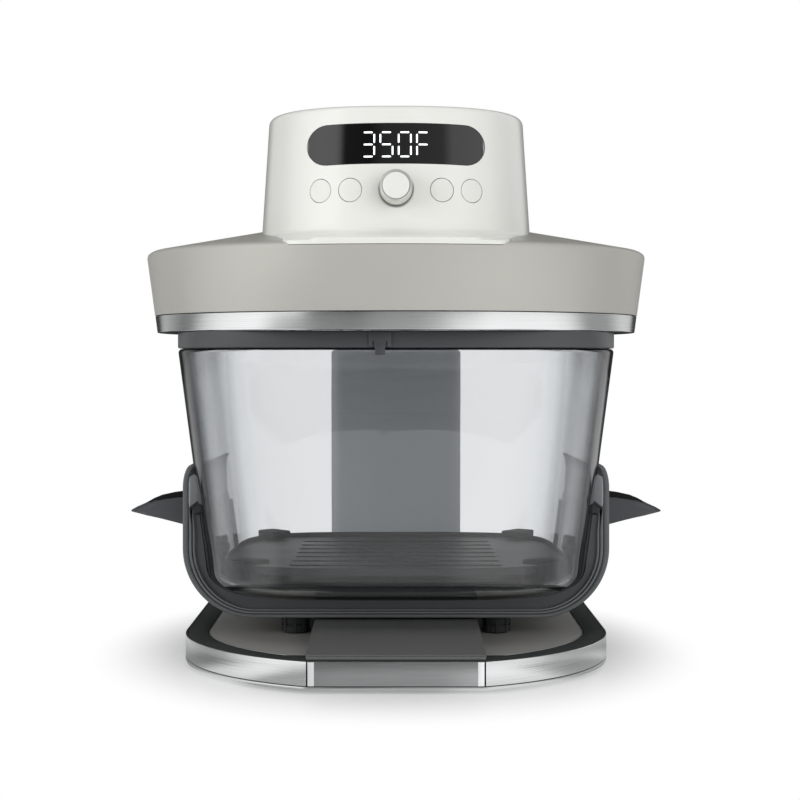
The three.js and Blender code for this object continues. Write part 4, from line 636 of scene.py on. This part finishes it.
def cap_solid(inset, bottom=CAP_BOTTOM):
    """The cap as a solid: turned, stretched to the rear, flared towards the front and kept inside the rim."""
    bm = spun(cap_profile(inset, bottom) + [(0, bottom)], squareness=CAP_SQUARE)
    for vert in bm.verts:
        share = min(1.0, max(0.0, (CAP_CREASE - vert.co.z) / (CAP_CREASE - CAP_LIP)))
        facing = max(0.0, -vert.co.y / max(1e-4, math.hypot(vert.co.x, vert.co.y)))
        back = CAP_STRETCH if vert.co.y > 1e-3 else 0
        vert.co.y += CAP_CENTRE + back - CAP_FLARE * share ** 2 * (1 - (1 - facing) ** 3)
        reach = (abs(vert.co.x) ** HEAD_SQUARE + abs(vert.co.y) ** HEAD_SQUARE) ** (1 / HEAD_SQUARE)
        limit = RIM_HIGH - GAP - inset
        if reach > limit:
            vert.co.x *= limit / reach
            vert.co.y *= limit / reach
    return bm


shroud_profile = rounded([(146.7, 205.5, 0.4), (151.3, 239.6, 0), (151.0, 241.6, 1.6), (148.6, 243.3, 1.6),
                          (SHOULDER[0] - 4, dome(SHOULDER[0] - 4), 0), (40, dome(40), 0),
                          (40, dome(40) - 2.4, 0), (146.6, 241.0, 0.5), (148.9, 239.6, 0),
                          (144.3, 205.5, 0.4)], 0.5)
shroud = spun(shroud_profile, squareness=HEAD_SQUARE, closed=True)
neck_slot = block((45.2, 40, 25), (0, 133, 211.3))
shroud = cut(shroud, cap_solid(-0.35, CAP_BOTTOM - 0.3), neck_slot)
piece("head_painted_shroud", shroud, warm_grey_paint, "head", "head_shroud", smooth=40)

ring = spun(rounded([(145.0, 195.3), (145.3, 195.7), (146.5, 205.1), (145.0, 205.1), (143.8, 195.3)], 0.35),
            squareness=HEAD_SQUARE, closed=True)
piece("head_steel_ring", ring, ring_steel, "head", "trim_ring", smooth=40)

housing = spun(rounded([(113, 195.6), (143.5, 195.6), (143.5, 205.1), (141.1, 205.1), (141.1, 198),
                        (115.4, 198), (115.4, 206), (113, 206)], 0.5), squareness=HEAD_SQUARE, closed=True)
piece("head_lower_housing", housing, dark_housing, "head", "heater_housing", smooth=40)


# Control cap, its window, buttons and knob

PANEL_LEAN = math.atan((CAP_LOW - CAP_HIGH) / (CAP_TOP - CAP_EDGE - CAP_CREASE))


def on_panel(x, z):
    """A frame on the front of the cap: origin on its face, Z out along the normal, X to the right."""
    radius = CAP_LOW - (z - CAP_CREASE) * math.tan(PANEL_LEAN)
    u = abs(x) / radius
    v = (1 - u ** CAP_SQUARE) ** (1 / CAP_SQUARE)
    flat = Vector((math.copysign(u ** (CAP_SQUARE - 1), x), -v ** (CAP_SQUARE - 1), 0)).normalized()
    normal = flat * math.cos(PANEL_LEAN) + Vector((0, 0, math.sin(PANEL_LEAN)))
    right = Vector((-flat.y, flat.x, 0))
    up = normal.cross(right)
    matrix = Matrix((right, up, normal)).transposed().to_4x4()
    matrix.translation = (x, CAP_CENTRE - radius * v, z)
    return matrix


def pill(half, high, low, top, steps=16):
    """A bar with round ends: half its length and half its height, from one depth to another."""
    right_end = arc(half - high, 0, high, -QUARTER, QUARTER, steps)
    return prism(right_end + arc(high - half, 0, high, QUARTER, 3 * QUARTER, steps), low, top)


DISPLAY_Z, WINDOW_HALF, WINDOW_HIGH = 296.1, 48.5, 10.9
BUTTON_Z, BUTTON_RADIUS, STEM_HOLE = 270.9, 6.3, 4.3
SHELL_WALL, BUTTON_PLAY, WINDOW_PLAY = 2.4, 0.35, 0.25
VENT_Y, VENT_Z = 118, 281
BUTTON_XS = (-41.3, -24.9, 24.9, 41.3)
cap = cut(cap_solid(0), cap_solid(SHELL_WALL, CAP_OPEN))
button_holes = [moved(rod(BUTTON_RADIUS + BUTTON_PLAY, -8, 4, 64), on_panel(x, BUTTON_Z))
                for x in BUTTON_XS]
vent_hole = softened(block((68.6, 60, 38.6), (0, VENT_Y, VENT_Z)), 2.0)
cap = cut(cap, merged(*button_holes, moved(rod(STEM_HOLE, -8, 4, 48), on_panel(0, BUTTON_Z))),
          moved(pill(WINDOW_HALF + WINDOW_PLAY, WINDOW_HIGH + WINDOW_PLAY, -14, 4), on_panel(0, DISPLAY_Z)),
          vent_hole)
piece("cap_gloss_shell", cap, white_abs, "head", "control_housing", smooth=32)

window = moved(pill(WINDOW_HALF, WINDOW_HIGH, -12, 4), on_panel(0, DISPLAY_Z))
window = cut(combined(window, cap_solid(0.12), "INTERSECT"), cap_solid(2.0, CAP_OPEN))
piece("display_window", window, black_window, "head", "display_lens", smooth=32)

for k, x in enumerate(BUTTON_XS, 1):
    key = combined(moved(rod(BUTTON_RADIUS, -5.5, 3, 64), on_panel(x, BUTTON_Z)), cap_solid(0), "INTERSECT")
    flange = moved(rod(BUTTON_RADIUS + 1.3, -5.1, -3.9, 48), on_panel(x, BUTTON_Z))
    button = merged(softened(key, 0.25, 2, angle=50), flange)
    piece(f"button_cap_{k}", button, button_abs, f"button_body_{k}", f"button_{k}")

knob_place = on_panel(0, BUTTON_Z)
seat = spun([(4.6, 0.1), (9.7, 0.1), (9.7, 1.0), (9.3, 1.4), (8.9, 1.4), (8.7, 1.1), (4.6, 1.1)], 96,
            closed=True)
piece("knob_seat_ring", moved(seat, knob_place), seat_aluminium, "head", "knob_ring")
knob_side = spun([(3.3, 2.6), (8.5, 2.6), (8.8, 2.9), (8.75, 12.6), (8.6, 14.4), (8.3, 15.15), (7.9, 15.5),
                  (7.5, 15.4), (7.35, 15.1), (7.35, 9.6), (3.3, 9.6)], 96, closed=True)
piece("knob_turned_side", moved(knob_side, knob_place), knob_aluminium, "knob", "control_knob")
knob_face = spun([(0, 9.9), (7.2, 9.9), (7.2, 15.1), (6.9, 15.3), (0, 15.4)], 96)
piece("knob_white_face", moved(knob_face, knob_place), white_abs, "knob")

# Readout: seven-segment bars with rounded ends on the window
SEGMENTS = {"0": "abcdef", "3": "abcdg", "5": "acdfg", "F": "aefg"}
SEG_HALF, SEG_THICK, DIGIT_W, DIGIT_H = 2.45, 0.44, 6.6, 13.2
SEG_PLACES = {"a": (0, DIGIT_H / 2, 0), "g": (0, 0, 0), "d": (0, -DIGIT_H / 2, 0),
              "b": (DIGIT_W / 2, DIGIT_H / 4, 1), "c": (DIGIT_W / 2, -DIGIT_H / 4, 1),
              "e": (-DIGIT_W / 2, -DIGIT_H / 4, 1), "f": (-DIGIT_W / 2, DIGIT_H / 4, 1)}
bars = []
for k, sign in enumerate("350F"):
    digit = on_panel((k - 1.5) * 9.9 - 0.2, DISPLAY_Z - 0.6)
    for name in SEGMENTS[sign]:
        x, y, upright = SEG_PLACES[name]
        bar = pill(SEG_HALF, SEG_THICK, -0.6, 0.03, 6)
        turn = Matrix.Rotation(QUARTER * upright, 4, "Z")
        bars.append(moved(bar, digit @ Matrix.Translation((x, y, 0)) @ turn))
piece("display_readout", merged(*bars), led_light, "head")

vent = combined(softened(block((68, 60, 38), (0, VENT_Y, VENT_Z)), 2.0), cap_solid(0), "INTERSECT")
louvres = [block((60, 60, 3), (0, VENT_Y, VENT_Z - 19 + 38 * (k + 1) / 6)) for k in range(5)]
vent = cut(vent, cap_solid(2.0, CAP_OPEN), merged(*louvres))
piece("rear_vent_louvres", vent, dark_housing, "head", "rear_vent")


# Base: pan, rounded rim, deck, steel bands, front plate and slab

BASE_RADIUS, BASE_FLAT, BASE_FRONT, BASE_BACK, BASE_CORNER = 125.5, 115.96, 145.0, 197.0, 40.0
BAND_LOW, BAND_HIGH = 4.3, 17.5
SLAB_HALF, SLAB_LOW, SLAB_HIGH, SLAB_FRONT, SLAB_BACK = 49, 17.8, 27.0, -136, 138
COLUMN_HALF, COLUMN_FRONT, COLUMN_BACK, COLUMN_LOW, COLUMN_HIGH = 46, 143, 189, 17.8, 193
PIVOT_Y, PIVOT_Z, GLAND_Z = 167, 212, 34


def base_outline(inset, front=None, back=None, corner=None):
    """A bowed front, and straight sides to a rounded back, moved in from the base's own edge."""
    front = inset if front is None else front
    back = BASE_BACK - inset if back is None else back
    corner = BASE_CORNER - inset if corner is None else corner
    radius = BASE_RADIUS - inset
    centre = BASE_FLAT - BASE_FRONT
    front_y = front - BASE_FRONT
    half_flat = math.sqrt(radius ** 2 - (centre - front_y) ** 2)
    start = math.atan2(front_y - centre, half_flat)
    return (arc(0, centre, radius, start, 0, 40)
            + arc(radius - corner, back - corner, corner, 0, QUARTER, 12)
            + arc(corner - radius, back - corner, corner, QUARTER, 2 * QUARTER, 12)
            + arc(0, centre, radius, 2 * QUARTER, 2 * QUARTER - start, 40))


def deck_outline(grow):
    return base_outline(14 - grow, 22 - grow, 140 + grow, 8 + grow)


def post_hole(z):
    """Room for the inner post where it passes through a cover."""
    return block((61.2, 31.2, 30), (0, PIVOT_Y, z))


pan = softened(prism(base_outline(0), 2.0, 4.0), 0.5, 2, angle=60)
piece("base_bottom_pan", pan, pan_steel, "stand", "base_pan", smooth=30)

plate_seat = block((95.8, 10, 30), (0, -147.3, 19))
rim = cut(prism(base_outline(1.5), BAND_LOW, BAND_HIGH), prism(deck_outline(0.5), 15.2, 30),
          prism(base_outline(3.5), -5, 13.0), post_hole(15), plate_seat)
piece("base_rim_cover", softened(rim, 0.35, 2, angle=60), base_nylon, "stand", "base_cover",
      smooth=30)
deck = softened(prism(deck_outline(-0.5), 15.5, 17.45), 0.2, 2, angle=60)
piece("base_satin_deck", deck, satin_coating, "stand", "base_deck", smooth=30)
deck_edge = cut(prism(deck_outline(0), 15.5, 17.5), prism(deck_outline(-0.45), 10, 20))
deck_edge = softened(deck_edge, 0.15, 2, angle=60)
piece("deck_bright_edge", deck_edge, pan_steel, "stand", smooth=30)

for side, name in SIDES:
    ring_band = cut(prism(base_outline(0), BAND_LOW, BAND_HIGH), prism(base_outline(1.2), 0, 20))
    ring_band = softened(ring_band, 0.45, 3, angle=60)
    half = block((140, 400, 60), (side * 70.3, 0, 10))
    front_gap = block((96.4, 90, 60), (0, -120, 10))
    steel = cut(combined(ring_band, half, "INTERSECT"), front_gap)
    piece(f"base_band_{name}", steel, band_steel, "stand", f"steel_band_{name}", smooth=30)

plate = softened(prism(oblong(-47.6, 47.6, -145, -142.6, 1.15, 6), BAND_LOW, BAND_HIGH), 0.3, 2, angle=60)
piece("base_front_plate", plate, plate_steel, "stand", "front_plate", smooth=40)
# The rolled edges are near white and only half metallic: painted highlight along with their real reflection
rolls = []
for side, _ in SIDES:
    roll = prism(oblong(-2.0, 2.0, -1.25, 0.6, 0.8, 5), BAND_LOW + 0.2, BAND_HIGH - 0.2)
    rolls.append(shifted(roll, side * 45.5, -143.82, 0))
piece("front_plate_rolls", merged(*rolls), rolled_edge_highlight, "stand", smooth=40)

slab_side = rounded([(SLAB_FRONT, SLAB_LOW), (SLAB_BACK, SLAB_LOW), (SLAB_BACK, SLAB_HIGH),
                     (-95, SLAB_HIGH, 9), (SLAB_FRONT, 19.4, 1)], 0.8, 5)
slab = prism(slab_side, -SLAB_HALF, SLAB_HALF, "X")
for vert in slab.verts:
    vert.co.x -= math.copysign(1.5 * (vert.co.z - SLAB_LOW) / (SLAB_HIGH - SLAB_LOW), vert.co.x)
slab = softened(slab, 0.8, 3, angle=50)
piece("slab_moulded_top", slab, slab_nylon, "stand", "centre_slab", smooth=30)
toe = softened(block((97, 3.2, 1.6), (0, -138.4, 18.4)), 0.4)
piece("slab_front_toe", toe, slab_nylon, "stand")

for end, y in (("front", -78), ("rear", 165)):
    for side, name in SIDES:
        foot = spun(rounded([(0, 0), (8.6, 0), (9, 0.5), (9, 1.7), (0, 1.7)], 0.3, closed=False), steps=48)
        piece(f"base_rubber_pad_{end}_{name}", shifted(foot, side * 85, y, 0), black_rubber, "stand",
              f"rubber_foot_{end}_{name}")


# Column and hinge

def column_outline(inset):
    half = COLUMN_HALF - inset
    return oblong(-half, half, COLUMN_FRONT + inset, COLUMN_BACK - inset, 9 - inset, 8)


def column_shell():
    shell = softened(prism(column_outline(0), COLUMN_LOW, COLUMN_HIGH), 1.2, 3, angle=60)
    return cut(shell, prism(column_outline(2.2), 0, COLUMN_HIGH - 2.2), post_hole(200))


front_half = combined(column_shell(), block((110, 40, 260), (0, 145.85, 100)), "INTERSECT")
piece("column_front_shell", front_half, column_nylon, "stand", "column_front_cover")
rear_half = combined(column_shell(), block((110, 40, 260), (0, 186.15, 100)), "INTERSECT")
gland_hole = shifted(moved(rod(6.3, -12, 12), Matrix.Rotation(QUARTER, 4, "X")), 0, 188, GLAND_Z)
rear_half = cut(rear_half, gland_hole)
cheeks = []
for side, _ in SIDES:
    outline = ([(180, 190.8)] + arc(PIVOT_Y, PIVOT_Z, 13, 0, 2 * QUARTER, 20)
               + [(154, 193.3), (166.3, 193.3), (166.3, 190.8)])
    cheek = prism(outline, 35, COLUMN_HALF, "X")
    cheeks.append(flipped(softened(cheek, 1.0, 3, angle=50), side))
piece("column_rear_shell", merged(rear_half, *cheeks), column_nylon, "stand", "column_rear_cover")

gland = spun([(3.6, -7), (6, -7), (6, 0), (8.5, 0), (8.5, 1.2), (7.6, 2.0), (3.9, 2.0), (3.6, 1.7)], 64,
             closed=True)
gland = shifted(moved(gland, Matrix.Rotation(-QUARTER, 4, "X")), 0, COLUMN_BACK + GAP, GLAND_Z)
piece("cord_gland_collar", gland, black_rubber, "stand", "cord_gland")

along_x = Matrix.Translation((0, PIVOT_Y, PIVOT_Z)) @ Matrix.Rotation(QUARTER, 4, "Y")
pin = spun([(0, -32.7), (5.4, -32.7), (6, -32.2), (6, -30.3), (4, -30.3), (4, 30.3), (6, 30.3), (6, 32.2),
            (5.4, 32.7), (0, 32.7)], 48)
piece("hinge_pivot_pin", moved(pin, along_x), pin_steel, "stand", "hinge_pin")
barrel = spun([(4.3, -26.7), (11.0, -26.7), (11.5, -26.2), (11.5, 26.2), (11.0, 26.7), (4.3, 26.7)], 96,
              closed=True)
arm = merged(moved(barrel, along_x), softened(block((44, 42, 16.9), (0, 140, 214.75)), 1.5))
piece("hinge_cast_arm", arm, cast_aluminium, "head", "hinge_arm")


# Heating parts seen from below when the head is up

COIL_RADIUS, COIL_TUBE, COIL_GAP, COIL_LOW, COIL_HIGH, COIL_STEPS = 88, 3.4, 0.25, 206.5, 228.5, 128
GUARD_EDGE, GUARD_Z = 111.2, 197.8
coil_curve = bpy.data.curves.new("coil_line", "CURVE")
coil_curve.dimensions = "3D"
coil_line = coil_curve.splines.new("POLY")
coil_points = []
for k in range(COIL_STEPS + 1):
    angle = QUARTER + COIL_GAP + (2 * math.pi - 2 * COIL_GAP) * k / COIL_STEPS
    from_end = min(k, COIL_STEPS - k) / 5
    rise = COIL_HIGH - (COIL_HIGH - COIL_LOW) * min(1.0, from_end) ** 0.8
    spot = Vector((COIL_RADIUS * math.cos(angle), COIL_RADIUS * math.sin(angle), rise))
    coil_points.append(INTO_FRAME @ spot)
coil_line.points.add(len(coil_points) - 1)
for point, spot in zip(coil_line.points, coil_points):
    point.co = (*spot, 1)
coil_curve.bevel_depth = COIL_TUBE / 1000
coil_curve.bevel_resolution = 6
coil_curve.use_fill_caps = True
coil_object = new_object("coil_object", coil_curve)
coil_mesh = bmesh.new()
coil_mesh.from_mesh(coil_object.evaluated_get(bpy.context.evaluated_depsgraph_get()).to_mesh())
bpy.data.objects.remove(coil_object)
piece("heating_coil_tube", moved(coil_mesh, INTO_FRAME.inverted()), sheath_steel, "head", "heating_element")

guard_rings = []
for radius in (*range(20, 105, 12), GUARD_EDGE):
    wire = 1.1 if radius == GUARD_EDGE else 0.75
    guard_rings.append(spun(arc(radius, GUARD_Z, wire, 0, 2 * math.pi, 10)[:-1], 128, closed=True))
spokes = [moved(block((94, 2.2, 1.2), (65, 0, GUARD_Z + 0.2)), Matrix.Rotation(k * 2 * math.pi / 5, 4, "Z"))
          for k in range(5)]
piece("guard_wire_grille", merged(*guard_rings, *spokes), sheet_steel, "head", "heater_guard")

for name, finish in {
        "column_post": cast_aluminium, "post_screw_left": pin_steel, "post_screw_right": pin_steel,
        "chassis_plate": sheet_steel, "display_board": solder_mask, "control_board": solder_mask,
        "rotary_encoder": cast_aluminium, "encoder_shaft": pin_steel, "power_board": solder_mask,
        "thermal_cutout": cast_aluminium, "reflector": sheet_steel, "insulation_pad": wool_board,
        "fan_motor": motor_paint, "motor_shaft": pin_steel, "convection_fan": fan_aluminium,
        "cooling_fan": black_nylon}.items():
    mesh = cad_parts[name].data
    mesh.materials.clear()
    mesh.materials.append(finish)


# Studio: white floor and backdrop, and grey cards round it, which metal and gloss show
# A card is its degrees to the right of the front and how bright it is there. The steel ring mirrors the floor
# further out, and the bands mirror it near the base.

CARD_POWER, DIFFUSE = 1.5, 0.22
WALL_CARDS = [(-90, 0.7), (-79, 0.84), (-60, 1.0), (-41, 1.0), (-37, 0.8), (-32, 0.08), (-12, 0.06),
              (-4, 0.2), (13, 0.25), (28, 0.28), (37, 0.7), (66, 0.75), (80, 0.65), (92, 0.3), (112, 0.3),
              (130, 0.6), (146, 0.5), (153, 0.03), (207, 0.03), (214, 0.3), (220, 0.4), (234, 0.3),
              (246, 0.19), (256, 0.25), (266, 0.6), (270, 0.7)]
FAR_CARDS = [(-90, 0.7), (-79, 0.92), (-57, 1.0), (-52, 0.85), (-46, 0.5), (-37, 0.36), (-27, 0.27),
             (-12, 0.24), (-4, 0.33), (6, 0.36), (13, 0.5), (20, 0.8), (32, 1.0), (66, 1.0), (78, 0.85),
             (92, 0.3), (112, 0.3), (130, 0.6), (146, 0.5), (153, 0.03), (207, 0.03), (214, 0.3), (220, 0.4),
             (234, 0.3), (246, 0.17), (256, 0.22), (266, 0.6), (270, 0.7)]
NEAR_CARDS = [(-90, 0.42), (-78, 0.32), (-66, 0.12), (-56, 0.14), (-51, 0.4), (-46, 0.9), (-37, 1.0),
              (-33, 0.8), (-29, 0.2), (-18, 0.3), (-10, 0.55), (8, 0.56), (13, 1.0), (35, 1.0), (41, 0.42),
              (48, 0.28), (60, 0.22), (68, 0.6), (76, 0.5), (85, 0.22), (110, 0.4), (180, 0.5), (255, 0.5),
              (270, 0.42)]
# Behind the object a black card gives clear glass its dark edge
BLACK_CARD = [(-90, 1.0), (118, 1.0), (132, 0.04), (228, 0.04), (242, 1.0), (270, 1.0)]
WHITE = (1, 1, 1, 1)


def any_ray(tree, path, *kinds):
    """One where the ray is of any of these kinds."""
    result = path.outputs[kinds[0]]
    for kind in kinds[1:]:
        result = add(tree, "Math", links={0: result, 1: path.outputs[kind]}, operation="MAXIMUM")
    return result


def standing_cards(tree, place, tones):
    """The tones of the cards round the Z axis."""
    turn = add(tree, "TexGradient", links={"Vector": place}, gradient_type="RADIAL").outputs["Fac"]
    stops = [((degrees + 90) / 360, (tone, tone, tone, 1)) for degrees, tone in tones]
    return add(tree, "ValToRGB", links={"Fac": turn}, stops=stops)


floor_mesh = bmesh.new()
bmesh.ops.create_grid(floor_mesh, x_segments=1, y_segments=1, size=6)
floor = as_object("floor", floor_mesh)
floor_material, tree, shader = new_material("white_studio_floor")
floor_material.cycles.emission_sampling = "NONE"
floor.data.materials.append(floor_material)
fill(tree, shader, {"Base Color": colour("#f3f3f3"), "Roughness": 0.35})
place = add(tree, "TexCoord").outputs["Object"]
# Distance from the base in units of its own half width and half depth: 1 is about its edge
HALF_WIDTH, HALF_DEPTH = 0.128, 0.172
reach = add(tree, "Mapping", {"Scale": (1 / HALF_WIDTH, 1 / HALF_DEPTH, 1.0)}, {"Vector": place})
away = add(tree, "VectorMath", links={0: reach}, operation="LENGTH")
fade = add(tree, "MapRange", {"From Min": 0.85, "From Max": 1.5, "To Min": 0.2}, {"Value": away},
           interpolation_type="SMOOTHSTEP")
# Rays through glass count as glossy too, so they come off again
path = add(tree, "LightPath")
mirrored = add(tree, "Math", links={0: path.outputs["Is Glossy Ray"], 1: path.outputs["Is Transmission Ray"]},
               operation="SUBTRACT", use_clamp=True)
distance = add(tree, "VectorMath", links={0: place}, operation="LENGTH")
near, far, black = [standing_cards(tree, place, tones) for tones in (NEAR_CARDS, FAR_CARDS, BLACK_CARD)]
outer = add(tree, "MapRange", {"From Min": 0.22, "From Max": 0.5}, {"Value": distance})
cards = add(tree, "Mix", links={"Factor": outer, "A": near, "B": far}, data_type="RGBA")
inner = add(tree, "MapRange", {"From Min": 0.74, "From Max": 0.8, "To Min": 1.0, "To Max": 0.0},
            {"Value": distance})
cards = add(tree, "Mix", links={"Factor": inner, "A": cards, "B": black}, data_type="RGBA",
            blend_type="MULTIPLY")
tone = add(tree, "Mix", {"A": WHITE}, {"Factor": mirrored, "B": cards}, data_type="RGBA")
power = add(tree, "MapRange", {"To Min": 1.0, "To Max": CARD_POWER}, {"Value": mirrored})
glow = add(tree, "Emission", links={"Color": tone, "Strength": power})
seen = any_ray(tree, path, "Is Camera Ray", "Is Transmission Ray", "Is Glossy Ray")
shown = add(tree, "Math", links={0: seen, 1: fade}, operation="MULTIPLY")
blend = add(tree, "MixShader", links={0: shown, 1: shader, 2: glow})
fill(tree, tree.nodes["Material Output"], links={"Surface": blend})

world = bpy.data.worlds.new("studio")
bpy.context.scene.world = world
world.use_nodes = True
world.cycles.sampling_method = "NONE"
tree = world.node_tree
path = add(tree, "LightPath")
cards = standing_cards(tree, add(tree, "TexCoord").outputs["Generated"], WALL_CARDS)
lit = add(tree, "Mix", {"A": (DIFFUSE, DIFFUSE, DIFFUSE, 1)},
          {"Factor": path.outputs["Is Glossy Ray"], "B": cards}, data_type="RGBA")
plain = any_ray(tree, path, "Is Camera Ray", "Is Transmission Ray")
walls = add(tree, "Mix", {"B": WHITE}, {"Factor": plain, "A": lit}, data_type="RGBA")
strength = add(tree, "MapRange", {"To Min": CARD_POWER, "To Max": 1.0}, {"Value": plain})
fill(tree, tree.nodes["Background"], links={"Color": walls, "Strength": strength})

# Lamps: degrees to the right of the front, distance, height, height they aim at, size, and power in watts
for name, turn, out, height, aim, size, power in (
        ("overhead", 0, 0.3, 1.7, 0.1, (1.5, 1.2), 4.6),
        ("left_side", -50, 1.65, 0.5, 0.25, (1.2, 1.1), 11.5),
        ("right_side", 28, 1.65, 0.5, 0.25, (1.2, 1.1), 11.5),
        ("rear_fill", 170, 1.65, 0.6, 0.2, (1.6, 1.1), 7)):
    data = bpy.data.lights.new(name, "AREA")
    data.shape, data.size, data.size_y, data.energy = "RECTANGLE", *size, power
    lamp = new_object(name, data)
    angle = math.radians(turn)
    lamp.location = out * math.sin(angle), -out * math.cos(angle), height
    lamp.rotation_euler = (Vector((0, 0, aim)) - lamp.location).to_track_quat("-Z", "Y").to_euler()
    lamp.visible_transmission = False
    lamp.visible_glossy = False

bpy.context.scene.view_settings.view_transform = "Standard"
